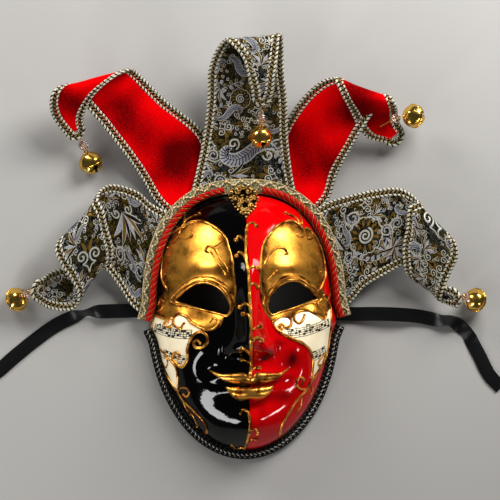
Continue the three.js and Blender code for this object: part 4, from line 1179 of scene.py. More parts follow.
# Horns: strips of cloth, folded at each crease. Every row is a line across, from the edge ax, ay, az
# to the edge
# bx, by, bz, in shares of the length from the horn's root, rootOut from the rim; az and bz are
# heights above its base.
hornForm = {"length": 90, "base": 5, "layer": 3.65, "thickness": 1.6, "braidWidth": 8, "braidThickness": 4}
horns = {
    "center": {
        "rootAngle": 90, "rootOut": 0, "raised": True, "cloth": "brocade", "bell": (0.17, 0.555, 0.222),
        "rows": [
            (-0.52, -0.14, 0, 0.55, -0.15, 0),
            (-0.45, 0.12, 0, 0.48, 0.11, 0),
            (-0.36, 0.53, 0.08, 0.42, 0.56, 0.08),
            (-0.31, 0.93, 0.22, 0.4, 0.92, 0.22),
            (-0.3, 1.22, 0.33, 0.36, 1.2, 0.33),
            (-0.23, 1.41, 0.42, 0.35, 1.44, 0.42),
            (-0.15, 1.5, 0.5, 0.33, 1.54, 0.5),
            (-0.1, 1.46, 0.57, 0.3, 1.51, 0.57),
            (0.02, 1.31, 0.57, 0.28, 1.35, 0.57),
            (0.07, 1.14, 0.53, 0.25, 1.14, 0.53),
            (0.11, 1.0, 0.47, 0.24, 1.0, 0.47),
            (0.115, 0.94, 0.43, 0.225, 0.94, 0.43),
        ],
    },
    "red_left": {
        "rootAngle": 124, "rootOut": 7.4, "raised": False, "cloth": "velvet", "bell": (-0.83, 0.52, 0.066),
        "rows": [
            (0.12, -0.1, 0, 0.58, 0.22, 0),
            (-0.15, 0.14, 0, 0.37, 0.52, 0),
            (-0.29, 0.38, 0.06, 0.28, 0.79, 0.02),
            (-0.48, 0.65, 0.18, -0.11, 1.11, 0.16),
            (-0.74, 0.98, 0.3, -0.34, 1.33, 0.28),
            (-0.97, 1.22, 0.38, -0.44, 1.41, 0.38),
            (-1.06, 1.26, 0.46, -0.48, 1.4, 0.47),
            (-1.15, 1.2, 0.49, -0.62, 1.33, 0.5),
            (-1.18, 1.08, 0.43, -0.81, 1.18, 0.45),
            (-1.16, 0.98, 0.35, -0.91, 1.03, 0.35),
            (-1.08, 0.86, 0.27, -0.94, 0.93, 0.27),
            (-1.03, 0.8, 0.22, -0.93, 0.87, 0.22),
        ],
    },
    "red_right": {
        "rootAngle": 56, "rootOut": 7.4, "raised": False, "cloth": "velvet", "bell": (1.04, 0.95, 0.24),
            "bead": (0.83, 0.92, 0.37),
        "tie": (0.7, 0.85, 0.255),
        "rows": [
            (-0.11, -0.1, 0, -0.57, 0.24, 0),
            (0.15, 0.14, 0, -0.33, 0.53, 0),
            (0.23, 0.38, 0.06, -0.25, 0.8, 0.02),
            (0.35, 0.62, 0.18, -0.06, 1.11, 0.16),
            (0.49, 0.87, 0.3, 0.14, 1.28, 0.28),
            (0.66, 1.1, 0.38, 0.28, 1.31, 0.38),
            (0.73, 1.13, 0.46, 0.25, 1.29, 0.47),
            (0.76, 1.08, 0.48, 0.29, 1.19, 0.49),
            (0.79, 1.03, 0.44, 0.35, 1.09, 0.45),
            (0.81, 0.99, 0.36, 0.42, 0.99, 0.37),
            (0.83, 0.95, 0.26, 0.5, 0.87, 0.27),
            (0.86, 0.88, 0.18, 0.61, 0.76, 0.18),
            (0.91, 0.81, 0.13, 0.79, 0.72, 0.13),
        ],
    },
    "side_left": {
        "rootAngle": 145, "rootOut": 8.1, "raised": True, "cloth": "brocade", "bell": (-1.38, -0.44, 0.035),
        "rows": [
            (0.02, -0.64, 0, 0.22, 0.33, 0),
            (-0.21, -0.5, 0, -0.03, 0.46, 0),
            (-0.36, -0.27, 0.04, -0.17, 0.58, 0.06),
            (-0.52, -0.08, 0.12, -0.43, 0.65, 0.16),
            (-0.8, 0.1, 0.2, -0.55, 0.59, 0.24),
            (-0.91, 0.16, 0.27, -0.58, 0.51, 0.32),
            (-0.95, 0.07, 0.32, -0.54, 0.42, 0.36),
            (-0.89, -0.08, 0.3, -0.5, 0.24, 0.33),
            (-0.81, -0.2, 0.25, -0.45, 0.04, 0.27),
            (-0.74, -0.37, 0.18, -0.47, -0.09, 0.2),
            (-0.79, -0.5, 0.09, -0.63, -0.14, 0.11),
            (-0.93, -0.52, 0.06, -0.89, -0.17, 0.07),
            (-1.08, -0.48, 0.12, -1.05, -0.22, 0.12),
            (-1.16, -0.42, 0.2, -1.13, -0.28, 0.2),
        ],
    },
    "side_right": {
        "rootAngle": 35, "rootOut": 8.1, "raised": True, "cloth": "brocade", "bell": (1.47, -0.53, 0.04),
        "rows": [
            (-0.05, -0.67, 0, -0.28, 0.31, 0),
            (0.19, -0.48, 0, -0.02, 0.45, 0),
            (0.31, -0.34, 0.04, 0.14, 0.5, 0.06),
            (0.52, -0.21, 0.12, 0.42, 0.56, 0.16),
            (0.89, -0.01, 0.2, 0.69, 0.57, 0.24),
            (1.12, 0.15, 0.27, 0.86, 0.44, 0.32),
            (1.18, 0.07, 0.32, 0.77, 0.4, 0.36),
            (1.2, -0.06, 0.3, 0.75, 0.2, 0.33),
            (1.15, -0.2, 0.25, 0.72, 0, 0.27),
            (1.1, -0.32, 0.21, 0.73, -0.12, 0.24),
            (1.07, -0.43, 0.17, 0.75, -0.23, 0.2),
            (1.07, -0.51, 0.11, 0.81, -0.3, 0.13),
            (1.13, -0.53, 0.08, 0.93, -0.33, 0.09),
            (1.18, -0.55, 0.13, 1.07, -0.38, 0.12),
            (1.22, -0.56, 0.2, 1.17, -0.43, 0.2),
        ],
    },
}


def hornPlace(horn, shares):
    shares = np.asarray(shares, float)
    angle = math.radians(horn["rootAngle"])
    radius = rimRadius(np.array([angle]))[0] + horn["rootOut"]
    base = hornForm["base"] + (hornForm["layer"] if horn["raised"] else 0)
    root = np.array([math.cos(angle) * radius, math.sin(angle) * radius, base])
    return root + shares * hornForm["length"]


# The horn's two edges, row by row, with the directions across, along and out of its cloth.
def hornFrames(horn, perSpan=14):
    rows = np.array(horn["rows"], float)
    edgeA = smoothLine(hornPlace(horn, rows[:, :3]), perSpan)
    edgeB = smoothLine(hornPlace(horn, rows[:, 3:]), perSpan)
    along = directions((edgeA + edgeB) / 2)
    across = unit(edgeB - edgeA)
    out = unit(np.cross(along, across))
    return edgeA, edgeB, across, np.cross(across, out), out


def outsideRim(points, reach):
    return rimShare(points[..., 0], points[..., 1]) > 1 + reach / 100


# A horn's cloth as a net of points, with each point's place on the flat cloth in millimetres.
def hornNet(horn, columns=41):
    edgeA, edgeB, across, along, out = hornFrames(horn)
    share = np.linspace(0.02, 0.98, columns)
    width = np.linalg.norm(edgeB - edgeA, axis=1)
    net = edgeA[:, None] + (edgeB - edgeA)[:, None] * share[None, :, None]
    arc = arcOf((edgeA + edgeB) / 2)
    flatX = (share[None, :] - 0.5) * width[:, None]
    flatY = np.broadcast_to(arc[:, None], flatX.shape)
    # Soft cockles in the cloth, which fade out at the sewn edges.
    fade = (1 - (2 * share - 1) ** 4)[None, :]
    cockle = np.sin(flatY * 0.11 + flatX * 0.07) * 0.5 + np.sin(flatY * 0.23 - flatX * 0.13 + 1.3) * 0.28
    net = net + out[:, None] * (cockle * fade)[..., None]
    return net, flatX, flatY, out


def makeHornCloth(name, finish):
    horn = horns[name]
    net, flatX, flatY, out = hornNet(horn)
    inRim = ~outsideRim(net, 0.6)
    keep = ~(inRim[:-1, :-1] & inRim[1:, :-1] & inRim[:-1, 1:] & inRim[1:, 1:])
    uv = np.stack([flatX, flatY], -1) / 1000
    shape = newShape()
    half = hornForm["thickness"] / 2
    for side in (1, -1):
        addNet(shape, net + out[:, None] * half * side, uv=uv, keep=keep)
    for column in (0, -1):
        edge = np.stack([net[:, column] + out * half, net[:, column] - out * half], 1)
        addNet(shape, edge, keep=keep[:, column][:, None])
    tip = np.stack([net[-1] + out[-1] * half, net[-1] - out[-1] * half], 0)
    addNet(shape, tip)
    return makePiece("horn_cloth_" + name, shape, [finish], ["horn_" + name])


def makeHornBraid(name, finishes):
    horn = horns[name]
    edgeA, edgeB, across, along, out = hornFrames(horn)
    middle = (edgeA[-1] + edgeB[-1]) / 2
    half = np.linalg.norm(edgeB[-1] - edgeA[-1]) / 2
    turn = np.linspace(0, math.pi, 16)[1:-1]
    outward = -across[-1] * np.cos(turn)[:, None] + along[-1] * np.sin(turn)[:, None]
    line = np.concatenate([edgeA, middle + outward * half, edgeB[::-1]])
    away = np.concatenate([-across, outward, across[::-1]])
    up = np.concatenate([out, np.tile(out[-1], (14, 1)), out[::-1]])
    free = outsideRim(line, 3.0)
    first = np.argmax(free)
    last = len(free) - np.argmax(free[::-1])
    joined = spaced(np.concatenate([line, away, up], 1)[first:last], 0.5)
    arc = arcOf(joined[:, :3])
    places = np.linspace(0, arc[-1], int(arc[-1] / 0.8))
    joined = np.stack([np.interp(places, arc, joined[:, k]) for k in range(9)], -1)
    line, away, up = joined[:, :3], unit(joined[:, 3:6]), unit(joined[:, 6:])
    shape = newShape()
    third = hornForm["braidWidth"] / 3
    tall = hornForm["braidThickness"] / 2
    for k in (-1, 0, 1):
        pair = [2, 1] if k == 0 else [0, 1, 0]
        addTwist(shape, line, away, up, third * 0.62, tall * 0.88, 3.9, pair, 1 if k == 0 else -1, 5,
            offset=k * third,
                 strand=0.5)
    makePiece("horn_braid_" + name, shape, finishes, ["braid_" + name])


# Woven figures of the brocade, drawn on the flat cloth in millimetres. They lie just above both of
# its sides.
figures = {"filler": 5, "lift": 0.1, "seed": 11}
# The thread that a figure is laid in, by its place in makeFigures' finishes.
silver, pale, ochre, dark = 0, 1, 2, 3


# A horn's cloth with what is needed to find a place on it from the flat drawing.
def openCloth(horn):
    net, flatX, flatY, out = hornNet(horn)
    return {"net": net, "arc": flatY[:, 0], "width": (flatX[:, -1] - flatX[:, 0]) / 0.96, "out": out}


def onCloth(cloth, plan, lift):
    net = cloth["net"]
    rows, columns = net.shape[:2]
    row = np.clip(np.interp(plan[:, 1], cloth["arc"], np.arange(rows)), 0, rows - 1.001)
    width = np.interp(row, np.arange(rows), cloth["width"])
    column = np.clip((plan[:, 0] / width + 0.48) / 0.96 * (columns - 1), 0, columns - 1.001)
    i = row.astype(int)
    j = column.astype(int)
    f = (row - i)[:, None]
    g = (column - j)[:, None]
    near = net[i, j] * (1 - g) + net[i, j + 1] * g
    far = net[i + 1, j] * (1 - g) + net[i + 1, j + 1] * g
    out = cloth["out"][i] * (1 - f) + cloth["out"][i + 1] * f
    return near * (1 - f) + far * f + out * lift[:, None]


# A float of thread: a flat strip along a drawn line, a little fuller in its middle.
def addFloat(shape, cloth, line, width, finish, side, level=0):
    along = directions(line)
    aside = np.stack([-along[:, 1], along[:, 0]], -1)
    width = np.broadcast_to(np.asarray(width, float), (len(line),))
    base = hornForm["thickness"] / 2 + figures["lift"] + level * 0.09
    net = []
    for across, rise in ((-1, 0), (0, 0.16), (1, 0)):
        plan = line + aside * (across * width / 2)[:, None]
        net.append(onCloth(cloth, plan, np.full(len(line), (base + rise) * side)))
    net = np.stack(net, 1)
    keep = outsideRim(net[:, 1], 1.5)
    keep = np.repeat((keep[:-1] & keep[1:])[:, None], 2, axis=1)
    addNet(shape, net, finish, uv=np.stack([line, line, line], 1) / 1000, keep=keep)


def spiral(turns, radius, first, count=20):
    turn = np.linspace(0, turns * 2 * math.pi, count)
    reach = radius * np.linspace(1, 0.12, count)
    return np.stack([np.cos(turn + first) * reach, np.sin(turn + first) * reach], -1)


def leafLine(start, angle, length, bend, count=9):
    share = np.linspace(0, 1, count)
    turned = angle + bend * (share - 0.5)
    step = np.stack([np.cos(turned), np.sin(turned)], -1) * length / (count - 1)
    return np.asarray(start) + np.concatenate([np.zeros((1, 2)), np.cumsum(step[:-1], axis=0)])


# Each figure gives its floats: line, width, thread and level.
def drawPaisley():
    outline = smoothLine([(0, -11), (5, -7), (7, -1), (5, 5), (0, 7.5), (-5, 5), (-6.5, 0), (-3.5, -4),
        (0.5, -6)], 6)
    inner = smoothLine([(-0.5, -7), (3, -4), (4, 0.5), (2, 3.6), (-1.5, 3.6), (-3, 1), (-1.5, -1.2)], 6)
    drawn = [(outline, 1.3, silver, 0), (outline * 1.18, 0.55, silver, 0)]
    drawn.append((inner, 2.6, pale, 0))
    drawn.append((inner * 1.02, 0.6, silver, 2))
    for k in range(2, len(inner) - 2, 4):
        across = inner[k + 1] - inner[k - 1]
        across = np.array([-across[1], across[0]]) / np.linalg.norm(across)
        drawn.append((inner[k] + across * np.linspace(-1.3, 1.3, 4)[:, None], 0.45, dark, 2))
    for k in range(9):
        angle = math.radians(200 - 27 * k)
        start = np.array([math.cos(angle) * 8.3, math.sin(angle) * 8.8])
        line = leafLine(start, angle, 2.8, 0.2, 6)
        drawn.append((line, 1.5 * np.sin(np.linspace(0.3, 3.0, 6)), ochre if k % 3 == 1 else silver, 1))
    return drawn


def drawPlume():
    stem = smoothLine([(-12, -7), (-7, -6.5), (-2, -3), (1, 2), (5, 6), (10, 6.5), (12, 3), (10, 0.5)], 7)
    share = np.linspace(0, 1, len(stem))
    broad = 0.8 + 5.2 * np.sin(share * math.pi) ** 0.8
    drawn = [(stem, broad + 1.5, silver, 0), (stem, broad, pale, 1)]
    along = directions(stem)
    for k in range(3, len(stem) - 3, 2):
        across = np.array([-along[k, 1], along[k, 0]])
        lean = along[k] * 1.4
        half = broad[k] / 2
        drawn.append((stem[k] + across * np.linspace(0.2, half, 4)[:, None] + lean * np.linspace(0, 1, 4)[:,
            None], 0.5,
                      dark, 2))
        drawn.append((stem[k] - across * np.linspace(0.2, half, 4)[:, None] + lean * np.linspace(0, 1, 4)[:,
            None], 0.5,
                      dark, 2))
    drawn.append((stem, 0.6, dark, 2))
    drawn.append((spiral(1.3, 3.4, 2.4) + [9.5, -1.5], 0.9, silver, 0))
    drawn.append((spiral(1.1, 3.0, 0.4) + [-10, -2.5], 0.9, silver, 0))
    return drawn


def drawSprig():
    stem = smoothLine([(-2, -11), (0, -6), (-0.5, 0), (1.5, 6), (0.5, 11)], 8)
    drawn = [(stem, 0.9, silver, 0)]
    full = np.sin(np.linspace(0.12, math.pi - 0.05, 9))
    for k, (place, side) in enumerate([(4, 1), (9, -1), (15, 1), (20, -1), (26, 1), (31, 0)]):
        start = stem[place]
        angle = math.pi / 2 - side * 0.95
        line = leafLine(start, angle, 8 - k * 0.4, side * 0.8)
        drawn.append((line, full * 4.4, silver, 1))
        drawn.append((line, full * 3.1, ochre if k % 2 else pale, 2))
        drawn.append((line[1:-1], 0.4, dark, 3))
    return drawn


# A snail of silver cord in a ring of ochre petals, with a scalloped border.
def drawWheel():
    drawn = [(spiral(2.1, 6.0, 0.6, 60), 1.5, silver, 1)]
    full = np.sin(np.linspace(0.25, math.pi - 0.2, 8)) ** 0.7
    for k in range(13):
        angle = 2 * math.pi * k / 13
        start = np.array([math.cos(angle), math.sin(angle)])
        drawn.append((leafLine(start * 6.8, angle + 0.2, 4.6, 0.5, 8), full * 2.2, ochre, 0))
        turn = np.linspace(-0.27, 0.27, 7) + angle
        bulge = 12.2 + 1.3 * np.cos((turn - angle) / 0.27 * math.pi / 2)
        drawn.append((np.stack([np.cos(turn) * bulge, np.sin(turn) * bulge], -1), 0.8, silver, 0))
    return drawn


# Long leaves that spring from one point, each with a dark heart.
def drawFan():
    drawn = []
    full = np.sin(np.linspace(0.15, math.pi - 0.05, 16)) ** 0.8
    for k in range(6):
        angle = math.radians(35 + 24 * k)
        line = leafLine([0, -9], angle, 17 + 2.5 * math.sin(k * 1.9), -0.9 + 0.3 * k, 16)
        drawn.append((line, full * 3.4, silver, k % 2))
        drawn.append((line, full * 2.0, (pale, ochre, dark)[k % 3], k % 2 + 1))
    drawn.append((spiral(1.3, 3.0, -0.6) + [4.5, -9.5], 1.0, silver, 0))
    drawn.append((spiral(1.3, 3.0, -0.6) * [-1, 1] + [-4.5, -9.5], 1.0, silver, 0))
    return drawn


def drawScrolls():
    drawn = []
    for side in (-1, 1):
        curl = spiral(1.5, 4.6, math.pi / 2, 34) * [side, 1] + [side * 4.8, 0]
        tail = smoothLine([(side * 4.8, 4.6), (side * 1.5, 6.5), (0, 10.5)], 6)
        drawn.append((curl, 1.2, silver, 0))
        drawn.append((tail, 1.0, silver, 0))
        drawn.append((leafLine([side, -2.0], -math.pi / 2 + side * 0.5, 8.0, side * 0.6), 2.4 * np.sin(
            np.linspace(0.1, 3.0, 9)), ochre, 1))
    return drawn


# Large figures that lead the pattern: drawing, share of the length, share across, angle and size.
leaders = {
    "center": [("plume", 0.23, 0.05, 2.75, 1.75), ("fan", 0.12, -0.05, -1.9, 1.1),
        ("wheel", 0.46, -0.1, 0.4, 0.7)],
    "side_left": [("fan", 0.22, 0.1, 2.3, 1.5), ("plume", 0.4, -0.1, 1.2, 1.3),
        ("scrolls", 0.62, 0.0, 0.3, 1.4)],
    "side_right": [("wheel", 0.25, 0.02, 0.0, 1.25), ("fan", 0.09, 0.1, 2.2, 1.1),
        ("scrolls", 0.55, 0.0, 0.5, 1.5)],
}


def makeFigures(name, threads):
    horn = horns[name]
    cloth = openCloth(horn)
    rng = random.Random(figures["seed"] + len(name) + ord(name[-1]))
    shape = newShape()
    drawings = {
        "paisley": drawPaisley(),
        "plume": drawPlume(),
        "sprig": drawSprig(),
        "scrolls": drawScrolls(),
        "fan": drawFan(),
        "wheel": drawWheel(),
    }
    length = cloth["arc"][-1]
    widest = cloth["width"].max()
    taken = []

    def lay(kind, middle, turn, size, mirror, side):
        turned = np.array([[math.cos(turn), math.sin(turn)], [-math.sin(turn), math.cos(turn)]]) * size
        for line, width, thread, level in drawings[kind]:
            addFloat(shape, cloth, (line * [mirror, 1]) @ turned + middle, np.asarray(width) * size, thread,
                side, level)

    for side in (1, -1):
        taken.clear()
        for kind, along, across, turn, size in leaders[name]:
            width = np.interp(along * length, cloth["arc"], cloth["width"])
            middle = np.array([across * width, along * length])
            lay(kind, middle, turn, size, 1, side)
            taken.append((middle, 11 * size))
        for _ in range(900):
            middle = np.array([rng.uniform(-0.5, 0.5) * widest, rng.uniform(0, length)])
            here = np.interp(middle[1], cloth["arc"], cloth["width"])
            size = rng.uniform(0.62, 0.95)
            crowded = any(np.linalg.norm(middle - other) < reach + size * 7.5 for other, reach in taken)
            if abs(middle[0]) < here / 2 and not crowded:
                kind = rng.choice(("paisley", "plume", "sprig", "scrolls", "fan", "scrolls"))
                lay(kind, middle, rng.uniform(0, 2 * math.pi), size, rng.choice((-1, 1)), side)
                taken.append((middle, size * 7.5))
        # Small curls fill the ground between the figures.
        for _ in range(int(length * widest / figures["filler"] ** 2)):
            middle = np.array([rng.uniform(-0.5, 0.5) * widest, rng.uniform(0, length)])
            here = np.interp(middle[1], cloth["arc"], cloth["width"])
            crowded = any(np.linalg.norm(middle - other) < reach * 0.9 for other, reach in taken)
            if abs(middle[0]) < here / 2 - 3 and not crowded:
                curl = spiral(1.2, rng.uniform(1.6, 2.8), rng.uniform(0, 6), 11) + middle
                addFloat(shape, cloth, curl, 0.65, silver if rng.random() < 0.7 else ochre, side, 0)
                taken.append((middle, 2.6))
    return makePiece("brocade_figures_" + name, shape, threads, tidy=False)


# Jingle bells, beads and threads.
bell = {
    "radius": 10.5, "wall": 1.2, "slot": 1.3, "slotEnd": 2.4, "slotStart": 0.04, "dip": 1.1, "seam": 0.65,
    "loop": 2.3, "bead": 9.0, "gap": 0.4,
}


def sphereNet(centre, axes, radius, polar, azimuth):
    x = np.sin(polar) * np.cos(azimuth)
    y = np.sin(polar) * np.sin(azimuth)
    local = np.stack([x, y, np.broadcast_to(np.cos(polar), x.shape)], -1) * radius
    return centre + local @ axes


def makeBell(name, centre, towardBead, brassAndShade):
    up = unit(towardBead)
    # One slot of the cross faces the camera side.
    sideways = unit(np.cross(up, [0.2, 0.1, 1.0]))
    axes = np.stack([sideways, np.cross(up, sideways), up])
    radius = bell["radius"]
    shape = newShape()
    polar = np.linspace(0.05, math.pi / 2, 20)[:, None]
    azimuth = (np.arange(48) / 48 * 2 * math.pi)[None, :]
    # The inner wall, the slot walls and the pebble take the second finish, painted shade for the dark inside
    # of the bell.
    for wall in (0, bell["wall"]):
        addNet(shape, sphereNet(centre, axes, radius - wall, polar, azimuth), int(wall > 0),
            closedAcross=True)
    # Each quarter of the lower half ends at the slots on both sides of it.
    deepest = math.pi - math.asin(bell["slot"] * math.sqrt(2) / radius)
    polar = np.linspace(math.pi / 2, deepest, 36)
    reach = (polar - math.pi / 2 - bell["slotStart"]) * radius - bell["slotEnd"]
    ended = np.sqrt(np.maximum(bell["slotEnd"] ** 2 - reach ** 2, 0))
    opened = np.maximum(ended, np.where(reach > 0, bell["slot"], 0))
    off = np.arcsin(np.clip(opened / (radius * np.sin(polar)), 0, math.sin(math.pi / 4)))
    share = np.linspace(0, 1, 11)
    for quarter in range(4):
        azimuth = quarter * math.pi / 2 + off[:, None] + (math.pi / 2 - 2 * off)[:, None] * share[None, :]
        # The sheet dips towards the slots, which leaves four rounded petals.
        dip = np.sin(2 * polar[:, None]) ** 2 * np.cos(2 * azimuth) ** 2 * bell["dip"]
        outer = sphereNet(centre, axes, (radius - dip)[..., None], polar[:, None], azimuth)
        inner = sphereNet(centre, axes, (radius - bell["wall"] - dip)[..., None], polar[:, None], azimuth)
        addNet(shape, outer)
        addNet(shape, inner, 1)
        for column in (0, -1):
            addNet(shape, np.stack([outer[:, column], inner[:, column]], 1), 1)
    turn = np.arange(64) / 64 * 2 * math.pi
    seam = sphereNet(centre, axes, radius, np.full(64, math.pi / 2), turn)
    addWire(shape, seam, bell["seam"], up=np.tile(up, (64, 1)), sides=8, closed=True)
    turn = np.arange(32) / 32 * 2 * math.pi
    ring = centre + up * (radius + bell["loop"] * 0.45) + (
        axes[0] * np.cos(turn)[:, None] + up * np.sin(turn)[:, None]) * bell["loop"] * 0.62
    addWire(shape, ring, 0.6, up=np.tile(axes[1], (32, 1)), sides=8, closed=True)
    pebble = sphereNet(centre - up * 5.2, axes, 3.4, np.linspace(0.05, 3.09, 12)[:, None],
                       (np.arange(18) / 18 * 2 * math.pi)[None, :])
    addNet(shape, pebble, 1, closedAcross=True)
    makePiece("jingle_bell_" + name, shape, brassAndShade, ["bell_" + name])


def makeBead(name, centre, axis, glass):
    up = unit(axis)
    sideways = unit(np.cross(up, [0.1, 0.9, 0.4]))
    axes = np.stack([sideways, np.cross(up, sideways), up])
    shape = newShape()
    count = 10
    # Bands of facets, each turned half a facet against the last.
    bands = [(0.32, 0), (0.75, 0.5), (1.25, 0), (math.pi - 1.25, 0.5), (math.pi - 0.75, 0),
        (math.pi - 0.32, 0.5)]
    net = []
    for polar, turned in bands:
        azimuth = (np.arange(count) + turned) / count * 2 * math.pi
        net.append(sphereNet(centre, axes, bell["bead"] / 2, np.full(count, polar), azimuth))
    addNet(shape, np.stack(net), closedAcross=True)
    for end, row in ((1, 0), (-1, -1)):
        ring = net[row]
        addNet(shape, np.stack([ring, ring * 0.35 + ring.mean(0) * 0.65]), closedAcross=True)
    makePiece("crystal_bead_" + name, shape, [glass], ["bead_" + name], smooth=False)


def makeHangings(brassAndShade, glass, goldThread):
    for name, horn in horns.items():
        edgeA, edgeB, across, along, out = hornFrames(horn)
        reach = (np.linalg.norm(edgeB[-1] - edgeA[-1]) + hornForm["braidWidth"] + 1.2) / 2
        tie = (edgeA[-1] + edgeB[-1]) / 2 + along[-1] * (reach - 1.5)
        if "tie" in horn:
            tie = hornPlace(horn, horn["tie"])
        middle = hornPlace(horn, horn["bell"])
        beadToBell = bell["radius"] + bell["loop"] + bell["bead"] / 2 + 2 * bell["gap"]
        bead = middle + unit(tie - middle) * beadToBell
        if "bead" in horn:
            bead = hornPlace(horn, horn["bead"])
        makeBell(name, middle, bead - middle, brassAndShade)
        makeBead(name, bead, tie - middle, glass)
        loopTop = middle + unit(bead - middle) * (bell["radius"] + bell["loop"] * 0.9)
        line = spaced(np.stack([tie, bead, loopTop]), 0.6)
        side = unit(np.cross(directions(line), [0.2, 0.1, 1.0]))
        shape = newShape()
        addTwist(shape, line, side, np.cross(side, directions(line)), 0.6, 0.6, 2.2, [0, 0], sides=6,
            strand=0.55)
        # The thread ends in a knot on the cloth.
        knot = sphereNet(tie, np.eye(3), 0.9, np.linspace(0.05, 3.09, 8)[:, None],
            (np.arange(10) / 10 * 2 * math.pi)[None, :])
        addNet(shape, knot, closedAcross=True)
        makePiece("gold_thread_" + name, shape, [goldThread], ["thread_" + name])


def makeVelvet():
    # Crushed polyester velvet: saturated red pile, nearly black where it was pressed away from the eye.
    made, tree = newMaterial("crushedRedVelvet")
    place = addNode(tree, "ShaderNodeTexCoord").outputs["Object"]
    # Pressed patches are some 60 mm wide and the pile's own flecks 0.8 mm, twice the real ones.
    pressed = addNode(tree, "ShaderNodeTexNoise",
        {"Vector": place, "Scale": 17.0, "Detail": 1.0, "Roughness": 0.4})
    pile = addNode(tree, "ShaderNodeTexNoise", {"Vector": place, "Scale": 1200.0, "Detail": 2.0})
    grain = addNode(tree, "ShaderNodeMath", {0: pile.outputs[0], 1: 0.34}, operation="MULTIPLY")
    lie = addNode(tree, "ShaderNodeMath", {0: pressed.outputs[0], 1: grain.outputs[0]}, operation="ADD")
    share = addNode(tree, "ShaderNodeMapRange", {"Value": lie.outputs[0], "From Min": 0.53, "From Max": 0.74})
    colour = addNode(tree, "ShaderNodeMix", {
        0: share.outputs[0],
        6: toLinear("#560002"),
        7: toLinear("#c80005"),
    }, data_type="RGBA")
    bump = addNode(tree, "ShaderNodeBump", {"Height": lie.outputs[0], "Distance": 0.0012, "Strength": 0.4})
    shader = addNode(tree, "ShaderNodeBsdfPrincipled", {
        "Base Color": colour.outputs[2],
        "Roughness": 0.9,
        "Specular IOR Level": 0.06,
        "Sheen Weight": 0.03,
        "Sheen Roughness": 0.5,
        "Sheen Tint": toLinear("#ff1410"),
        "Normal": bump.outputs[0],
    })
    finishMaterial(tree, shader)
    return made


def makeBrocadeGround():
    # Jacquard brocade: a black satin ground, on which fine silver and olive floats scribble small curls.
    made, tree = newMaterial("blackJacquardBrocade")
    cloth = addNode(tree, "ShaderNodeUVMap", uv_map="cloth").outputs[0]
    # Floats are drawn about 1 mm wide, twice the real ones, so that they hold at the camera's distance.
    curls = addNode(tree, "ShaderNodeTexNoise",
        {"Vector": cloth, "Scale": 120.0, "Detail": 1.5, "Distortion": 2.6})
    line = addNode(tree, "ShaderNodeMath", {0: curls.outputs[0], 1: 6.0}, operation="MULTIPLY")
    wave = addNode(tree, "ShaderNodeMath", {0: line.outputs[0], 1: 0.5}, operation="PINGPONG")
    thread = addNode(tree, "ShaderNodeMapRange",
        {"Value": wave.outputs[0], "From Min": 0.38, "From Max": 0.44})
    patch = addNode(tree, "ShaderNodeTexNoise", {"Vector": cloth, "Scale": 42.0, "Detail": 1.0})
    isGold = addNode(tree, "ShaderNodeMapRange",
        {"Value": patch.outputs[0], "From Min": 0.42, "From Max": 0.47})
    threadColour = addMix(tree, isGold.outputs[0], toLinear("#6d6c62"), toLinear("#7d6c2c"))
    colour = addMix(tree, thread.outputs[0], toLinear("#050504"), threadColour.outputs[2])
    weave = addNode(tree, "ShaderNodeTexWave", {"Vector": cloth, "Scale": 900.0}, bands_direction="Y")
    height = addNode(tree, "ShaderNodeMath", {0: weave.outputs[1], 1: thread.outputs[0]}, operation="ADD")
    bump = addNode(tree, "ShaderNodeBump", {"Height": height.outputs[0], "Distance": 0.0005, "Strength": 0.5})
    metallic = addNode(tree, "ShaderNodeMath", {0: thread.outputs[0], 1: 0.5}, operation="MULTIPLY")
    shader = addNode(tree, "ShaderNodeBsdfPrincipled", {
        "Base Color": colour.outputs[2],
        "Metallic": metallic.outputs[0],
        "Roughness": 0.5,
        "Specular IOR Level": 0.15,
        "Normal": bump.outputs[0],
    })
    finishMaterial(tree, shader)
    return made


def makeBrass():
    # Bright gilt brass sheet on the bells: pressed over a die, so that its reflections wander.
    made, tree = newMaterial("polishedGiltBrass")
    place = addNode(tree, "ShaderNodeTexCoord").outputs["Object"]
    smear = addNode(tree, "ShaderNodeTexNoise", {"Vector": place, "Scale": 220.0, "Detail": 3.0})
    rough = addNode(tree, "ShaderNodeMapRange", {"Value": smear.outputs[0], "To Min": 0.16, "To Max": 0.32})
    # Dents about 9 mm wide.
    dents = addNode(tree, "ShaderNodeTexNoise", {"Vector": place, "Scale": 110.0, "Detail": 0.0})
    bump = addNode(tree, "ShaderNodeBump", {"Height": dents.outputs[0], "Distance": 0.006, "Strength": 0.42})
    shader = addNode(tree, "ShaderNodeBsdfPrincipled", {
        "Base Color": toLinear("#f4c968"),
        "Metallic": 1.0,
        "Roughness": rough.outputs[0],
        "Normal": bump.outputs[0],
    })
    finishMaterial(tree, shader)
    return made


def makeShadedBellInside():
    # Inside a bell: painted shade, a dull near-black brown for the dark inside of the bell, its slot walls
    # and its pebble.
    made, tree = newMaterial("bellInsidePaintedShade")
    place = addNode(tree, "ShaderNodeTexCoord").outputs["Object"]
    shadeFleck = addNode(tree, "ShaderNodeTexNoise", {"Vector": place, "Scale": 500.0})
    colour = addMix(tree, shadeFleck.outputs[0], toLinear("#0c0703"), toLinear("#2e1f0c"))
    shader = addNode(tree, "ShaderNodeBsdfPrincipled", {"Base Color": colour.outputs[2], "Roughness": 0.8})
    finishMaterial(tree, shader)
    return made


def makeGlass():
    # Cut lead crystal, clear with a faint pink.
    made, tree = newMaterial("pinkCutCrystal")
    shader = addNode(tree, "ShaderNodeBsdfPrincipled", {
        "Base Color": toLinear("#fbe6e2"),
        "Roughness": 0.03,
        "Transmission Weight": 0.95,
        "IOR": 1.54,
    })
    finishMaterial(tree, shader)
    return made


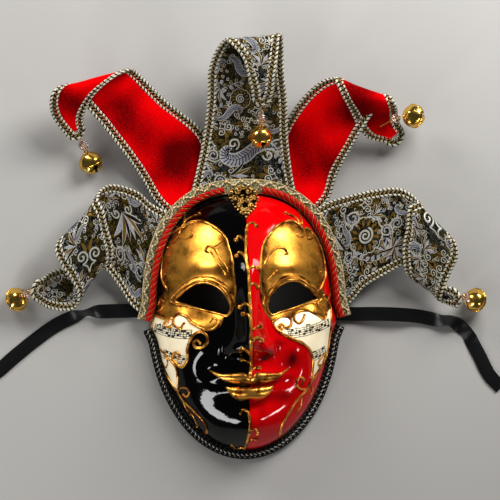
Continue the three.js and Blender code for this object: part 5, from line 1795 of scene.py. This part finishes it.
redSatin = threadMaterial("redSatinCord", "#c4030b", "#5e0105", 0.0, 0.34, gloss=0.28)
goldThread = threadMaterial("goldLurexThread", "#e8c169", "#a8792c", 0.8, 0.34)
silverThread = threadMaterial("silverLurexThread", "#efead6", "#8f8a78", 0.25, 0.36)
silverPurl = threadMaterial("silverPurlWire", "#efece0", "#8d8a80", 0.3, 0.35)
blackCord = threadMaterial("blackCottonCord", "#131211", "#040404", 0.0, 0.6, sheen=0.05, gloss=0.2)
oldGoldThread = threadMaterial("oldGoldLurexThread", "#c4a664", "#5a4722", 0.4, 0.42)
crinkle = threadMaterial("oliveLaceTape", "#b3ad84", "#1f1c0d", 0.3, 0.5, grain=1.5)
silverFloat = threadMaterial("silverSilkFloat", "#d6d4ca", "#8b897f", 0.4, 0.34)
paleFloat = threadMaterial("greySilkFloat", "#b2b2b8", "#6f6f78", 0.15, 0.4)
ochreFloat = threadMaterial("ochreSilkFloat", "#94752c", "#45340f", 0.4, 0.42)
velvet = makeVelvet()
brocade = makeBrocadeGround()
makeRope(redSatin, goldThread)
makeGimp(crinkle, goldThread, silverThread)
makeChinBraid(blackCord, silverPurl)
makeCrest([
    goldLeafMaterial("antiqueGiltMetal", 2.0, "#f6cd7c", "#75501c"),
    goldLeafMaterial("patinaInTheCasting", 3.0, "#2e1d0a", "#0d0804"),
])
print("trims made")
for name, horn in horns.items():
    isVelvet = horn["cloth"] == "velvet"
    piece = makeHornCloth(name, velvet if isVelvet else brocade)
    woven = [] if isVelvet else [makeFigures(name, [silverFloat, paleFloat, ochreFloat, blackCord])]
    makeHornBraid(name, [silverThread, blackCord, oldGoldThread])
makeHangings([makeBrass(), makeShadedBellInside()], makeGlass(), goldThread)
print("horns and bells made")

# Floor and lights.
setting = {
    "floor": "#999794",
    # Each softbox: place, size, power and whether gloss mirrors it.
    "lights": {
        "key": ((420, 760, 820), (620, 460), 13.0, False),
        "fill": ((-800, -60, 640), (600, 600), 3.0, False),
        "strip": ((-585, -712, 430), (210, 340), 3.1, True),
        "kicker": ((700, -560, 430), (110, 110), 0.8, True),
        "leftCard": ((-560, 760, 480), (360, 320), 4.5, True),
        "rightCard": ((600, 720, 470), (360, 320), 4.5, True),
    },
    "world": 0.07,
    "exposure": 0.3,
    "gamma": 0.84,
}


def makeFloor():
    # A studio sheet: matt grey card, even and without pattern.
    made, tree = newMaterial("greyStudioCard")
    shader = addNode(tree, "ShaderNodeBsdfPrincipled",
        {"Base Color": toLinear(setting["floor"]), "Roughness": 0.85})
    finishMaterial(tree, shader)
    shape = newShape()
    x, y = np.meshgrid([-6000.0, 6000.0], [-6000.0, 6000.0])
    addNet(shape, np.stack([x, y, np.full_like(x, -0.5)], -1))
    mesh = bpy.data.meshes.new("floor")
    mesh.from_pydata((np.concatenate(shape["points"]) / 1000).tolist(), [], [(0, 1, 3, 2)])
    mesh.materials.append(made)
    floor = bpy.data.objects.new("floor", mesh)
    bpy.context.scene.collection.objects.link(floor)


def makeLights():
    aim = (np.array([0, 30, 40]) + shift) / 1000
    for name, (place, size, power, mirrored) in setting["lights"].items():
        data = bpy.data.lights.new(name, "AREA")
        data.shape = "RECTANGLE"
        data.size = size[0] / 1000
        data.size_y = size[1] / 1000
        data.energy = power
        lamp = bpy.data.objects.new(name, data)
        lamp.location = Vector((np.array(place) + shift) / 1000)
        lamp.rotation_euler = (Vector(aim) - lamp.location).to_track_quat("-Z", "Y").to_euler()
        lamp.visible_glossy = mirrored
        bpy.context.scene.collection.objects.link(lamp)
    world = bpy.data.worlds.new("studio")
    world.use_nodes = True
    world.node_tree.nodes["Background"].inputs[0].default_value = (0.85, 0.85, 0.86, 1)
    world.node_tree.nodes["Background"].inputs[1].default_value = setting["world"]
    bpy.context.scene.world = world
    # The photograph was developed with deep blacks.
    bpy.context.scene.view_settings.view_transform = "Standard"
    bpy.context.scene.view_settings.exposure = setting["exposure"]
    bpy.context.scene.view_settings.gamma = setting["gamma"]


makeFloor()
makeLights()
print("floor and lights made")
